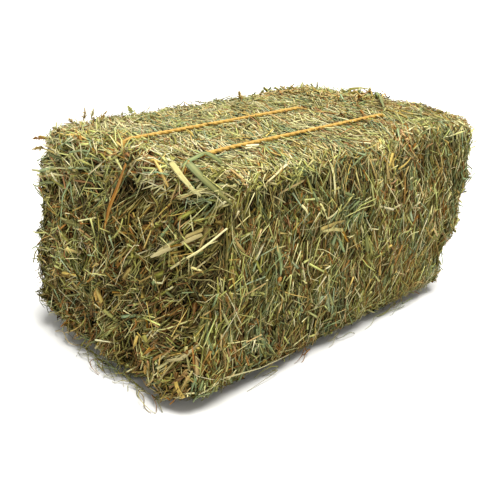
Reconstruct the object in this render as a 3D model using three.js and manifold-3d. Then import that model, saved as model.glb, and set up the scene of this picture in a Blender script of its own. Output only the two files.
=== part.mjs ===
// Square hay bale: pressed flakes of hay standing face to face, tied by two loops of twine.
// Millimetres, +Z up, +X along the bale, origin at the bottom centre of the bounding box.
import * as THREE from 'three';
import { mergeVertices } from 'three/addons/utils/BufferGeometryUtils.js';
import Module from 'manifold-3d';

const wasm = await Module();
wasm.setup();

// The plain block that the baler presses, before it springs and leans.
const LENGTH = 636;
const WIDTH = 446;
const HEIGHT = 334;
const TOP_RADIUS = 30;
const BOTTOM_RADIUS = 44;
const END_RADIUS = 26;

// How far the hay springs out of the block.
const TOP_CROWN = 11;
const NEAR_SIDE_CROWN = 11;
const FAR_SIDE_CROWN = 22;
const END_CROWN = 20;
const FAR_RISE = 8;

// How far the block is pulled out of square.
const NEAR_TAPER = 26;
const FAR_TAPER = 10;
const FRONT_LEAN = 62;
const FRONT_LEAN_SKEW = 0.35;
const FRONT_LEAN_FADE = 2;
const BACK_DRAW = 72;
const BACK_DRAW_POWER = 1.7;
const BACK_DRAW_FADE = 2.5;
const END_FADE = 3;
const CORNER_SETBACK = 38;
const CORNER_SETBACK_SHARE = 0.42;

// Flakes: how the bale falls apart once the twine is cut.
const FLAKE_COUNT = 10;
const FLAKE_GAP = 0.3;
const FLAKE_PUFF = 2.5;
const FLAKE_UNEVENNESS = 0.01;

// Twine.
const TWINE_RADIUS = 2.2;
const TWINE_DEPTH = 1.2;
const TWINE_LIFT = 0.4;
const TWINE_CLEARANCE = 0.8;
const TWINE_SIDES = 8;
const SLOT_REACH = 12;
const KNOT_RADIUS = 4.6;
const KNOT_LENGTH = 15;
const KNOT_POCKET = 0.6;
const TAIL_RADIUS = 1.8;
const TAIL_LENGTH = 42;
const TWINES = [
  { name: 'twine_near', y: 104, knotHeight: 214 },
  { name: 'twine_far', y: 231, knotHeight: 186 },
];

const HAY_COLOUR = 0x8f8a4e;
const TWINE_COLOUR = 0xc98a2b;

const clamp01 = (value) => Math.min(Math.max(value, 0), 1);

/** Moves a point of the plain block to its place on the sprung and leaning bale. */
function settle(x, y, z) {
  const along = clamp01(x / LENGTH);
  const across = y / WIDTH;
  const up = z / HEIGHT;
  const low = Math.max(1 - up, 0);
  const u = 2 * across - 1;
  const v = 2 * up - 1;

  const sideCrown = u < 0 ? NEAR_SIDE_CROWN : FAR_SIDE_CROWN;
  const bulge = sideCrown * u * Math.abs(u) * (1 - v * v);
  const taper = (NEAR_TAPER * low * (1 - u)) / 2 - (FAR_TAPER * low * (1 + u)) / 2;
  const rise = Math.max(v, 0) * (TOP_CROWN * (1 - u * u) + FAR_RISE * across);

  const lean = FRONT_LEAN * low * (1 - FRONT_LEAN_SKEW * across) * (1 - along) ** FRONT_LEAN_FADE;
  const draw = BACK_DRAW * low ** BACK_DRAW_POWER * along ** BACK_DRAW_FADE;
  const endCrown = END_CROWN * (1 - v * v) * (1 - 0.7 * u * u);
  const setback = CORNER_SETBACK * up * clamp01(1 - across / CORNER_SETBACK_SHARE) ** 2;
  const front = (setback - endCrown) * (1 - along) ** END_FADE;
  const back = endCrown * along ** END_FADE;
  return new THREE.Vector3(x - lean - draw + front + back, y + bulge + taper, z + rise);
}

/** Points of a corner arc in the section plane, from one angle to another in degrees. */
function arc(centreY, centreZ, radius, from, to, steps) {
  return Array.from({ length: steps + 1 }, (_, i) => {
    const angle = THREE.MathUtils.degToRad(from + ((to - from) * i) / steps);
    return [centreY + radius * Math.cos(angle), centreZ + radius * Math.sin(angle)];
  });
}

/** Points strictly between two others in the section plane. */
function between([y0, z0], [y1, z1], count) {
  return Array.from({ length: count }, (_, i) => {
    const t = (i + 1) / (count + 1);
    return [y0 + (y1 - y0) * t, z0 + (z1 - z0) * t];
  });
}

/** Rounded outline of the block's section, drawn in on its sides and top, and by footInset below. */
function outline(inset, footInset) {
  const [left, right, foot, top] = [inset, WIDTH - inset, footInset, HEIGHT - inset];
  const [small, large] = [TOP_RADIUS, BOTTOM_RADIUS];
  const corners = [
    arc(left + large, foot + large, large, 270, 180, 3),
    arc(left + small, top - small, small, 180, 90, 3),
    arc(right - small, top - small, small, 90, 0, 3),
    arc(right - large, foot + large, large, 0, -90, 3),
  ];
  const stretches = [3, 5, 3, 3];
  return corners.flatMap((corner, i) => {
    const next = corners[(i + 1) % corners.length];
    return [...corner, ...between(corner.at(-1), next[0], stretches[i])];
  });
}

/** A ring of the flake's surface: the outline at x, shrunk to share of its size about the middle. */
function ring(x, inset = 0, footInset = 0, share = 1) {
  return outline(inset, footInset).map(([y, z]) => {
    const middle = [WIDTH / 2, HEIGHT / 2];
    return settle(x, middle[0] + (y - middle[0]) * share, middle[1] + (z - middle[1]) * share);
  });
}

/** Closed body through rings in order of x, each end closed by a fan about the middle. */
function skin(rings) {
  const count = rings[0].length;
  const points = rings.flat();
  const faces = [];
  for (let i = 0; i + 1 < rings.length; i++) {
    for (let j = 0; j < count; j++) {
      const [a, b] = [i * count + j, i * count + ((j + 1) % count)];
      const [d, c] = [a + count, b + count];
      faces.push(a, d, c, a, c, b);
    }
  }
  for (const [index, flip] of [[0, false], [rings.length - 1, true]]) {
    const centre = points.length;
    const total = rings[index].reduce((sum, p) => sum.add(p), new THREE.Vector3());
    points.push(total.divideScalar(count));
    for (let j = 0; j < count; j++) {
      const [a, b] = [index * count + j, index * count + ((j + 1) % count)];
      faces.push(...(flip ? [centre, b, a] : [centre, a, b]));
    }
  }
  return new THREE.BufferGeometry().setFromPoints(points).setIndex(faces);
}

/** Where the cut between flake number index and the one before it lies along the block. */
function cutAt(index) {
  if (index === 0) return 0;
  if (index === FLAKE_COUNT) return LENGTH;
  return LENGTH * (index / FLAKE_COUNT + FLAKE_UNEVENNESS * Math.sin(2.3 * index));
}

/** Rings that close and round one end of the bale, from its face inwards. */
function endRings(facing) {
  const at = (distance) => (facing < 0 ? distance : LENGTH - distance);
  const rings = [0.4, 0.78].map((share) => ring(at(0), END_RADIUS, END_RADIUS, share));
  for (let i = 0; i <= 3; i++) {
    const angle = ((Math.PI / 2) * i) / 3;
    const inset = END_RADIUS * (1 - Math.sin(angle));
    rings.push(ring(at(END_RADIUS * (1 - Math.cos(angle))), inset, inset));
  }
  return facing < 0 ? rings : rings.reverse();
}

/** One flake between its two cuts, a little puffed in its middle. */
function flake(index) {
  const [low, high] = [cutAt(index), cutAt(index + 1)];
  const rings = [];
  if (index === 0) rings.push(...endRings(-1));
  else rings.push(ring(low + FLAKE_GAP / 2, FLAKE_PUFF), ring((low + high) / 2));
  if (index === FLAKE_COUNT - 1) rings.push(...endRings(1));
  else rings.push(ring(high - FLAKE_GAP / 2, FLAKE_PUFF));
  return skin(rings);
}

/** Path of a twine round the bale: a rounded rectangle sunk a little into the hay. */
function twinePath(y) {
  const radius = END_RADIUS - TWINE_DEPTH;
  const [left, right] = [TWINE_DEPTH, LENGTH - TWINE_DEPTH];
  const [foot, top] = [TWINE_RADIUS + TWINE_LIFT, HEIGHT - TWINE_DEPTH];
  const corners = [
    arc(left + radius, foot + radius, radius, 270, 180, 5),
    arc(left + radius, top - radius, radius, 180, 90, 5),
    arc(right - radius, top - radius, radius, 90, 0, 5),
    arc(right - radius, foot + radius, radius, 0, -90, 5),
  ];
  const stretches = [6, 18, 6, 9];
  const flat = corners.flatMap((corner, i) => {
    const next = corners[(i + 1) % corners.length];
    return [...corner, ...between(corner.at(-1), next[0], stretches[i])];
  });
  return flat.map(([x, z]) => settle(x, y, z));
}

/** Closed ring that carries a profile of [sideways, outwards] offsets along a loop in an upright plane. */
function sweepLoop(path, profile) {
  const points = [];
  const faces = [];
  const sideways = new THREE.Vector3(0, 1, 0);
  path.forEach((centre, i) => {
    const tangent = path[(i + 1) % path.length].clone().sub(path.at(i - 1)).normalize();
    const side = sideways.clone().addScaledVector(tangent, -tangent.y).normalize();
    const outward = new THREE.Vector3().crossVectors(side, tangent).negate();
    for (const [a, b] of profile) {
      points.push(centre.clone().addScaledVector(side, a).addScaledVector(outward, b));
    }
    const [here, next] = [i * profile.length, ((i + 1) % path.length) * profile.length];
    for (let j = 0; j < profile.length; j++) {
      const k = (j + 1) % profile.length;
      faces.push(here + j, here + k, next + k, here + j, next + k, next + j);
    }
  });
  return new THREE.BufferGeometry().setFromPoints(points).setIndex(faces);
}

/** A manifold solid of a closed three.js geometry. */
function solid(geometry) {
  geometry.deleteAttribute('normal');
  geometry.deleteAttribute('uv');
  const merged = mergeVertices(geometry);
  const mesh = new wasm.Mesh({
    numProp: 3,
    vertProperties: new Float32Array(merged.attributes.position.array),
    triVerts: new Uint32Array(merged.index.array),
  });
  return new wasm.Manifold(mesh);
}

/** The three.js geometry of a manifold solid. */
function geometryOf(body) {
  const { vertProperties, triVerts } = body.getMesh();
  const geometry = new THREE.BufferGeometry();
  geometry.setAttribute('position', new THREE.BufferAttribute(vertProperties, 3));
  geometry.setIndex(new THREE.BufferAttribute(triVerts, 1));
  geometry.computeVertexNormals();
  return geometry;
}

/** The middle of a twine's knot on the back end, and the way the twine runs there. */
function knotPlace({ y, knotHeight }) {
  const onTwine = (z) => settle(LENGTH - TWINE_DEPTH, y, z);
  const run = onTwine(knotHeight + 1).sub(onTwine(knotHeight - 1)).normalize();
  const outward = new THREE.Vector3(run.z, 0, -run.x).normalize();
  const centre = onTwine(knotHeight).addScaledVector(outward, KNOT_RADIUS - TWINE_RADIUS + 1);
  return { centre, run, outward };
}

/** The lump of the knot, larger all round by margin. */
function knotLump(twine, margin) {
  const { centre, run } = knotPlace(twine);
  const lump = new THREE.SphereGeometry(1, 10, 8);
  lump.scale(KNOT_RADIUS + margin, KNOT_LENGTH / 2 + margin, KNOT_RADIUS + margin);
  lump.applyQuaternion(new THREE.Quaternion().setFromUnitVectors(new THREE.Vector3(0, 1, 0), run));
  lump.translate(centre.x, centre.y, centre.z);
  return solid(lump);
}

/** One cut end of the twine, which leaves the knot sideways and hangs down. */
function knotTail(twine, sideways) {
  const { centre, outward } = knotPlace(twine);
  const away = (out, across, drop) =>
    centre.clone().addScaledVector(outward, out).add(new THREE.Vector3(0, across, -drop));
  const path = new THREE.CatmullRomCurve3([
    centre,
    away(2.5, 0.16 * sideways * TAIL_LENGTH, 0.05 * TAIL_LENGTH),
    away(5, 0.32 * sideways * TAIL_LENGTH, 0.3 * TAIL_LENGTH),
    away(3, 0.38 * sideways * TAIL_LENGTH, 0.85 * TAIL_LENGTH),
  ]);
  const section = new THREE.Shape().absarc(0, 0, TAIL_RADIUS, 0, 2 * Math.PI);
  const tail = new THREE.ExtrudeGeometry(section, { steps: 8, curveSegments: 8, extrudePath: path });
  return solid(tail);
}

/** A whole twine: its loop with the knot and both cut ends, in one piece. */
function twineBody(twine) {
  const circle = Array.from({ length: TWINE_SIDES }, (_, i) => {
    const angle = (2 * Math.PI * (i + 0.5)) / TWINE_SIDES;
    return [TWINE_RADIUS * Math.cos(angle), TWINE_RADIUS * Math.sin(angle)];
  });
  const loop = solid(sweepLoop(twinePath(twine.y), circle));
  return loop.add(knotLump(twine, 0)).add(knotTail(twine, 1)).add(knotTail(twine, -1));
}

/** What a twine presses out of the hay: an open slot along its loop and a pocket behind its knot. */
function twinePress(twine) {
  const half = TWINE_RADIUS + TWINE_CLEARANCE;
  const slot = [[-half, -half], [half, -half], [half, SLOT_REACH], [-half, SLOT_REACH]];
  return solid(sweepLoop(twinePath(twine.y), slot)).add(knotLump(twine, KNOT_POCKET));
}

/** A named mesh with a finish of its own. */
function piece(name, body, color, roughness) {
  const finish = new THREE.MeshStandardMaterial({ color, roughness, metalness: 0 });
  const mesh = new THREE.Mesh(geometryOf(body), finish);
  mesh.name = name;
  return mesh;
}

/** The whole bale, moved so that the origin is the bottom centre of its bounding box. */
function buildBale() {
  const bale = new THREE.Group();
  const presses = TWINES.map(twinePress);
  for (let index = 0; index < FLAKE_COUNT; index++) {
    const pressed = presses.reduce((body, press) => body.subtract(press), solid(flake(index)));
    bale.add(piece(`flake_${String(index + 1).padStart(2, '0')}`, pressed, HAY_COLOUR, 0.95));
  }
  for (const twine of TWINES) {
    bale.add(piece(twine.name, twineBody(twine), TWINE_COLOUR, 0.8));
  }
  const box = new THREE.Box3().setFromObject(bale);
  const centre = box.getCenter(new THREE.Vector3());
  bale.position.set(-centre.x, -centre.y, -box.min.z);
  return bale;
}

export default buildBale();
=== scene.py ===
"""Looks of a square hay bale: ten flakes of pressed hay, tied by two loops of twine, on a pale floor.

Lengths are in metres. The hay is laid out on the plain block that the baler presses, with x along it
from its front end, y across it from its near side and z up from its underside. `BaleForm.settle` then
moves every point to its place on the sprung and leaning bale.
"""

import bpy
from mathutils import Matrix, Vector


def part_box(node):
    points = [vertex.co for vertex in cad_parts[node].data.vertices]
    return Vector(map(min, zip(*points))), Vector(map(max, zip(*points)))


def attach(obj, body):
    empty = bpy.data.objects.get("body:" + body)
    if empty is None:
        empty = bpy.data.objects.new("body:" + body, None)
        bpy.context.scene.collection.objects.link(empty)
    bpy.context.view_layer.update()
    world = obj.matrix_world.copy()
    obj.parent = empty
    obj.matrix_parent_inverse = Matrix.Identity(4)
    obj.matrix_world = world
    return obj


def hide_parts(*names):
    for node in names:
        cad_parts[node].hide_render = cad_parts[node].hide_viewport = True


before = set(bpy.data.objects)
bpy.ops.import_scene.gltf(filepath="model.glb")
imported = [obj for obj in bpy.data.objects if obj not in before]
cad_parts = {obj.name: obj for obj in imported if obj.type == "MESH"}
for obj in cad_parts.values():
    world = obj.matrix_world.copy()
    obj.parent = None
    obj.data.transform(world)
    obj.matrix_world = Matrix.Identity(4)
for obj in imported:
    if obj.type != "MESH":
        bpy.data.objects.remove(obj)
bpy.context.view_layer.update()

import logging
import math
from dataclasses import dataclass, field, replace
from enum import Enum, IntEnum

import bpy
import numpy as np
from mathutils import Vector

Array = np.ndarray
Generator = np.random.Generator
log = logging.getLogger("hay bale")

MAP_NAME = "OFBake"
BODY = "root"
SEED = 20
FLOOR_GAP = 0.0003
CAP_ZIGZAG = 0.06
CAP_STEP = 0.03

# Steps that spread points evenly over a square and never repeat: 1 / p and 1 / p^2, with p^3 = p + 1.
EVEN_STEPS = (0.754877666, 0.569840291)


# ------------------------------------------------------------
# Shape of the bale


class Side(Enum):
    """A side of the plain block: the axis it faces, whether it is the far one, and its own two axes."""

    TOP = (2, True, 0, 1)
    UNDER = (2, False, 0, 1)
    NEAR = (1, False, 0, 2)
    FAR = (1, True, 0, 2)
    FRONT = (0, False, 1, 2)
    BACK = (0, True, 1, 2)


def unit(vectors: Array) -> Array:
    """Vectors divided by their lengths, with zero left as zero."""
    return vectors / np.maximum(np.linalg.norm(vectors, axis=-1, keepdims=True), 1e-12)


class Waves:
    """A smooth random field: the sum of sine waves that run in random directions, with a spread of 1."""

    def __init__(self, rng: Generator, wavelength: float, count: int = 12) -> None:
        """Draws the waves.

        Args:
            rng: source of the directions, lengths and phases.
            wavelength: typical distance between crests.
            count: number of waves.
        """
        lengths = wavelength * rng.uniform(0.6, 1.6, (count, 1))
        self.steps = unit(rng.normal(size=(count, 3))) * 2 * np.pi / lengths
        self.phases = rng.uniform(0, 2 * np.pi, count)

    def at(self, points: Array) -> Array:
        """The field at points: sqrt(2 / n) times the sum of sin(step . point + phase)."""
        return np.sin(points @ self.steps.T + self.phases).sum(-1) * math.sqrt(2 / len(self.phases))


@dataclass(frozen=True)
class BaleForm:
    """The plain block that the baler presses, and how it springs, leans and rounds off."""

    length: float = 0.636
    width: float = 0.446
    height: float = 0.334
    top_radius: float = 0.030
    back_top_radius: float = 0.046
    back_top_power: int = 8
    bottom_radius: float = 0.044
    top_crown: float = 0.011
    near_crown: float = 0.011
    far_crown: float = 0.022
    end_crown: float = 0.020
    end_crown_falloff: float = 0.7
    far_rise: float = 0.008
    near_taper: float = 0.026
    far_taper: float = 0.010
    front_lean: float = 0.062
    front_lean_skew: float = 0.35
    front_lean_fade: float = 2.0
    back_draw: float = 0.072
    back_draw_power: float = 1.7
    back_draw_fade: float = 2.5
    end_fade: float = 3.0
    corner_setback: float = 0.038
    corner_setback_share: float = 0.42
    flake_count: int = 10
    flake_unevenness: float = 0.01
    flake_wander: float = 2.3
    cut_groove: float = 0.0035
    cut_groove_width: float = 0.006
    shift: tuple[float, float, float] = (0.0, 0.0, 0.0)

    @property
    def sizes(self) -> Array:
        """Length, width and height of the block."""
        return np.array([self.length, self.width, self.height])

    @property
    def cuts(self) -> Array:
        """Where the flakes part along the block: even steps, each off by a slow sine.

        Returns:
            Their x, from the front end to the back end.
        """
        index = np.arange(self.flake_count + 1)
        uneven = self.flake_unevenness * np.sin(self.flake_wander * index)
        cuts = self.length * (index / self.flake_count + uneven)
        cuts[0], cuts[-1] = 0.0, self.length
        return cuts

    def settle(self, points: Array) -> Array:
        """Moves points of the block to their places on the bale.

        The sides bulge by their crown times u |u| (1 - v^2), with u and v from -1 to 1 across and up.
        The block tapers towards its foot, its top crowns as 1 - u^2, its front leans forward and its
        back draws in towards the foot, and both ends crown.

        Args:
            points: places on or near the block, the last axis being x, y and z.

        Returns:
            Their places on the bale, in the shared frame.
        """
        x, y, z = np.moveaxis(points, -1, 0)
        along = np.clip(x / self.length, 0, 1)
        across, up = y / self.width, z / self.height
        low = np.maximum(1 - up, 0)
        u, v = 2 * across - 1, 2 * up - 1
        crown = np.where(u < 0, self.near_crown, self.far_crown)
        bulge = crown * u * np.abs(u) * (1 - v * v)
        taper = (self.near_taper * low * (1 - u) - self.far_taper * low * (1 + u)) / 2
        rise = np.maximum(v, 0) * (self.top_crown * (1 - u * u) + self.far_rise * across)
        skew = 1 - self.front_lean_skew * across
        lean = self.front_lean * low * skew * (1 - along) ** self.front_lean_fade
        draw = self.back_draw * low**self.back_draw_power * along**self.back_draw_fade
        end_crown = self.end_crown * (1 - v * v) * (1 - self.end_crown_falloff * u * u)
        corner = np.clip(1 - across / self.corner_setback_share, 0, 1) ** 2
        front = (self.corner_setback * up * corner - end_crown) * (1 - along) ** self.end_fade
        back = end_crown * along**self.end_fade
        moved = np.stack([x - lean - draw + front + back, y + bulge + taper, z + rise], -1)
        return moved + np.array(self.shift)

    def snap(self, points: Array, height: Array | float) -> tuple[Array, Array]:
        """Rounds the block's edges off and lifts points out of its surface.

        A point's core is the nearest point of the block drawn in by the edge radius r. The point goes
        to core + n m (r + height), with n the way from its core to it. m is the longest part of
        point - core, over r, which is 1 on the surface and less inside. The radius goes from the
        foot's to the top's, which is larger at the back end.

        Args:
            points: places on or in the block.
            height: how far each stands out of the surface.

        Returns:
            The rounded places and the ways that point out of the surface there.
        """
        up = np.clip(points[..., 2:] / self.height, 0, 1)
        along = np.clip(points[..., :1] / self.length, 0, 1)
        top = self.top_radius + (self.back_top_radius - self.top_radius) * along**self.back_top_power
        radius = self.bottom_radius + (top - self.bottom_radius) * np.sqrt(up)
        core = np.clip(points, radius, self.sizes - radius)
        away = points - core
        outward = unit(away)
        share = np.abs(away).max(-1, keepdims=True) / radius
        return core + outward * share * (radius + np.asarray(height)[..., None]), outward

    def fold(self, points: Array, side: Side) -> Array:
        """Lays what runs past an edge of a side down over the neighbouring side, by the same length.

        Args:
            points: places on the side's plane, some of them past its edges.
            side: the side that they lie on.

        Returns:
            The places on the block's surface.
        """
        axis, far, *own = side.value
        inside = np.clip(points, 0, self.sizes)
        past = np.abs(points - inside)[..., own].sum(-1)
        inside[..., axis] += -past if far else past
        return np.clip(inside, 0, self.sizes)

    def groove(self, x: Array) -> Array:
        """How far the hay draws in near a cut between two flakes: a bell curve about each cut."""
        gap = np.abs(x[..., None] - self.cuts[1:-1]).min(-1)
        return self.cut_groove * np.exp(-((gap / self.cut_groove_width) ** 2))

    def placed(self, cad_low: Array, cad_high: Array) -> "BaleForm":
        """The same form, moved so that its box has the same middle and foot as the CAD box of the hay.

        Args:
            cad_low: lowest corner of the CAD hay's box.
            cad_high: its highest corner.

        Returns:
            The moved form.
        """
        lattice = 41
        steps = [np.linspace(0, size, lattice) for size in self.sizes]
        grid = np.stack(np.meshgrid(*steps, indexing="ij"), -1).reshape(-1, 3)
        shell = self.settle(self.snap(grid, 0.0)[0])
        middle = (shell.max(0) + shell.min(0)) / 2
        shift = (cad_low + cad_high) / 2 - middle
        return replace(self, shift=(float(shift[0]), float(shift[1]), 0.0))


# ------------------------------------------------------------
# Meshes from arrays


@dataclass
class Mesher:
    """Collects closed bodies as arrays and makes one mesh of them."""

    points: list[Array] = field(default_factory=list)
    corners: list[Array] = field(default_factory=list)
    places: list[Array] = field(default_factory=list)
    count: int = 0

    def add(self, points: Array, faces: list[tuple[Array, Array]]) -> None:
        """Adds bodies.

        Args:
            points: their vertices, one row each.
            faces: for each face size, the faces' vertex numbers (faces, size) and their places on the
                map (faces, size, 2).
        """
        for corners, places in faces:
            self.corners.append(corners + self.count)
            self.places.append(places)
        self.points.append(points)
        self.count += len(points)

    def make(self, name: str, material: bpy.types.Material) -> bpy.types.Object:
        """One object that holds everything added so far, smooth shaded and mapped.

        Args:
            name: name of the object and its mesh.
            material: its finish.

        Returns:
            The object, linked to the scene and kept a hair above the floor.
        """
        mesh = bpy.data.meshes.new(name)
        points = np.concatenate(self.points).astype(np.float32)
        points[:, 2] = np.maximum(points[:, 2], FLOOR_GAP)
        sizes = np.concatenate([np.full(len(c), c.shape[1]) for c in self.corners])
        loops = np.concatenate([c.ravel() for c in self.corners])
        places = np.concatenate([p.reshape(-1, 2) for p in self.places])
        mesh.vertices.add(len(points))
        mesh.vertices.foreach_set("co", points.ravel())
        mesh.loops.add(len(loops))
        mesh.loops.foreach_set("vertex_index", loops.astype(np.int32))
        mesh.polygons.add(len(sizes))
        mesh.polygons.foreach_set("loop_start", (np.cumsum(sizes) - sizes).astype(np.int32))
        mesh.polygons.foreach_set("use_smooth", np.ones(len(sizes), bool))
        layer = mesh.uv_layers.new(name=MAP_NAME)
        layer.uv.foreach_set("vector", places.astype(np.float32).ravel())
        mesh.update(calc_edges=True)
        mesh.validate()
        mesh.materials.append(material)
        made = bpy.data.objects.new(name, mesh)
        bpy.context.scene.collection.objects.link(made)
        return made


class Section(Enum):
    """Cross-sections of strands, as corners (sideways, outwards) from the left edge over the top."""

    BLADE = ((-1.0, -0.4), (0.08, 0.7), (1.0, -0.4))
    STEM = ((-0.87, -0.5), (0.0, 1.0), (0.87, -0.5))
    GUTTER = ((-1.0, 0.5), (-0.5, 0.35), (0.0, -0.1), (0.5, 0.4), (1.0, 0.6),
              (0.5, -0.35), (0.0, -0.9), (-0.5, -0.4))
    ROUND = tuple((-math.cos(a), math.sin(a)) for a in np.arange(7) * 2 * math.pi / 7)


def carry(path: Array, outward: Array, half: Array, section: Section, roll: Array | float = 0.0,
          closed: bool = False) -> Array:
    """Carries a section along many paths at once.

    At each station the tangent is the step between its neighbours, the side is outward x tangent and
    the lift is tangent x side. A corner (a, b) of the section goes to path + a half_0 side' + b half_1
    lift', with side' and lift' turned by the roll about the tangent.

    Args:
        path: stations of each path, (paths, stations, 3).
        outward: the way out of the surface at each station.
        half: half the width and half the depth at each station, (paths, stations, 2).
        section: the cross-section.
        roll: turn about the path in radians, for all or for each path and station.
        closed: whether the last station joins the first.

    Returns:
        The corners, (paths, stations, sides, 3).
    """
    if closed:
        tangent = unit(np.roll(path, -1, 1) - np.roll(path, 1, 1))
    else:
        tangent = unit(np.gradient(path, axis=1))
    side = unit(np.cross(outward, tangent))
    lift = np.cross(tangent, side)
    roll = np.broadcast_to(np.asarray(roll), path.shape[:2])[..., None]
    turned = side * np.cos(roll) + lift * np.sin(roll)
    raised = lift * np.cos(roll) - side * np.sin(roll)
    a, b = np.array(section.value).T
    sideways = turned[:, :, None] * (a * half[..., :1])[..., None]
    return path[:, :, None] + sideways + raised[:, :, None] * (b * half[..., 1:])[..., None]


def tube_faces(count: int, stations: int, sides: int, low: Array, high: Array,
               closed: bool = False) -> list[tuple[Array, Array]]:
    """Faces of tubes whose vertices are numbered (tube, station, side), each on its own strip of the map.

    A face's place on the map runs with the side from low to high in u and with the station in v.

    Args:
        count: number of tubes.
        stations: stations of each.
        sides: corners of the section.
        low: lowest (u, v) of each tube's strip, (count, 2).
        high: highest (u, v) of each tube's strip, (count, 2).
        closed: whether the last station joins the first, which needs no caps.

    Returns:
        Pairs of vertex numbers and places on the map, as `Mesher.add` takes them.
    """
    steps = stations if closed else stations - 1
    tube, i, j = np.meshgrid(np.arange(count), np.arange(steps), np.arange(sides), indexing="ij")
    station = np.stack([i, i + 1, i + 1, i], -1)
    side = np.stack([j, j, j + 1, j + 1], -1)
    numbers = (tube[..., None] * stations + station % stations) * sides + side % sides
    share = np.stack([side / sides, station / steps], -1)
    span = (high - low)[:, None, None, None]
    places = low[:, None, None, None] + span * share
    faces = [(numbers.reshape(-1, 4), places.reshape(-1, 4, 2))]
    if not closed:
        j = np.arange(sides)
        lean = np.stack([j / sides, CAP_ZIGZAG * (j % 2) + CAP_STEP * (j == sides - 1)], -1)
        for order, base, flip in ((j, 0, 0.0), (j[::-1], (stations - 1) * sides, 1.0)):
            numbers = np.arange(count)[:, None] * stations * sides + base + order
            share = np.abs(np.array([0.0, flip]) - lean)[order]
            faces.append((numbers, low[:, None] + (high - low)[:, None] * share))
    return faces


# ------------------------------------------------------------
# Finishes


class Signal:
    """A shader socket that takes part in Python sums: each operator adds a Math node."""

    def __init__(self, shader: "Shader", socket: bpy.types.NodeSocket) -> None:
        """Wraps one output socket of a shader's node."""
        self.shader, self.socket = shader, socket

    def _math(self, operation: str, *values: "Signal | float") -> "Signal":
        """A Math node on the given values, in order."""
        return self.shader.node("ShaderNodeMath", {"operation": operation}, dict(enumerate(values)))

    def __add__(self, other: "Signal | float") -> "Signal":
        """Sum."""
        return self._math("ADD", self, other)

    __radd__ = __add__

    def __sub__(self, other: "Signal | float") -> "Signal":
        """Difference."""
        return self._math("SUBTRACT", self, other)

    def __rsub__(self, other: "Signal | float") -> "Signal":
        """Difference from a number."""
        return self._math("SUBTRACT", other, self)

    def __mul__(self, other: "Signal | float") -> "Signal":
        """Product."""
        return self._math("MULTIPLY", self, other)

    __rmul__ = __mul__

    def floor(self) -> "Signal":
        """Whole part."""
        return self._math("FLOOR", self)

    def distance(self, other: "Signal | float") -> "Signal":
        """Absolute difference."""
        return (self - other)._math("ABSOLUTE", self - other)

    def out(self, name: str) -> "Signal":
        """Another output of the same node."""
        return Signal(self.shader, self.socket.node.outputs[name])


class Shader:
    """The nodes of one material."""

    def __init__(self, name: str) -> None:
        """Starts an empty material with that name.

        Args:
            name: name of the material.
        """
        self.material = bpy.data.materials.new(name)
        self.material.use_nodes = True
        self.tree = self.material.node_tree
        self.tree.nodes.clear()

    def node(self, kind: str, settings: dict | None = None, sockets: dict | None = None) -> Signal:
        """Adds a node.

        Args:
            kind: the node's type.
            settings: its own settings, set first. "stops" are a ramp's (place, colour) pairs.
            sockets: the values or signals of its inputs, by name or number.

        Returns:
            Its first output that is in use.
        """
        node = self.tree.nodes.new(kind)
        for key, value in (settings or {}).items():
            if key == "stops":
                elements = node.color_ramp.elements
                while len(elements) < len(value):
                    elements.new(1.0)
                for element, (place, colour) in zip(elements, value):
                    element.position, element.color = place, (*colour, 1.0)
            elif key == "interpolation":
                node.color_ramp.interpolation = value
            else:
                setattr(node, key, value)
        for key, value in (sockets or {}).items():
            if isinstance(value, Signal):
                self.tree.links.new(value.socket, node.inputs[key])
            else:
                node.inputs[key].default_value = value
        return Signal(self, next((socket for socket in node.outputs if socket.enabled), None))

    def on_map(self) -> tuple[Signal, Signal]:
        """The u and v of the piece's own map.

        Returns:
            Both, as signals.
        """
        place = self.node("ShaderNodeUVMap", {"uv_map": MAP_NAME})
        split = self.node("ShaderNodeSeparateXYZ", None, {0: place})
        return split, split.out("Y")

    def noise(self, across: Signal, along: Signal, layer: float, detail: float) -> Signal:
        """A noise stretched by its two coordinates. Each layer is another one."""
        place = self.node("ShaderNodeCombineXYZ", None, {0: across, 1: along, 2: layer})
        return self.node("ShaderNodeTexNoise", None, {"Vector": place, "Scale": 1.0, "Detail": detail})

    def mix(self, way: str, share: "Signal | float", first: "Signal | tuple",
            second: "Signal | tuple") -> Signal:
        """A colour Mix node with that blend type, which keeps its colours within 0 and 1."""
        settings = {"data_type": "RGBA", "blend_type": way, "clamp_result": True}
        return self.node("ShaderNodeMix", settings, {0: share, 6: first, 7: second})

    def finish(self, colour: Signal, roughness: Signal, bump: Signal,
               **constants: float) -> bpy.types.Material:
        """Joins everything to a Principled surface and gives the material.

        Args:
            colour: base colour.
            roughness: roughness.
            bump: normal.
            constants: other sockets of the surface, by name.

        Returns:
            The finished material.
        """
        sockets = {"Base Color": colour, "Roughness": roughness, "Normal": bump, **constants}
        surface = self.node("ShaderNodeBsdfPrincipled", None, sockets)
        self.node("ShaderNodeOutputMaterial", None, {"Surface": surface})
        return self.material


class Tint(IntEnum):
    """The kinds of stem and leaf in the hay, each with its own stretch of the map's u."""

    STRAW = 0
    YELLOW_GREEN = 1
    OLIVE = 2
    DARK_OLIVE = 3
    BROWN = 4
    TAN = 5
    GREY_GREEN = 6
    RUST = 7


Mixture = dict[Tint, float]


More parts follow.
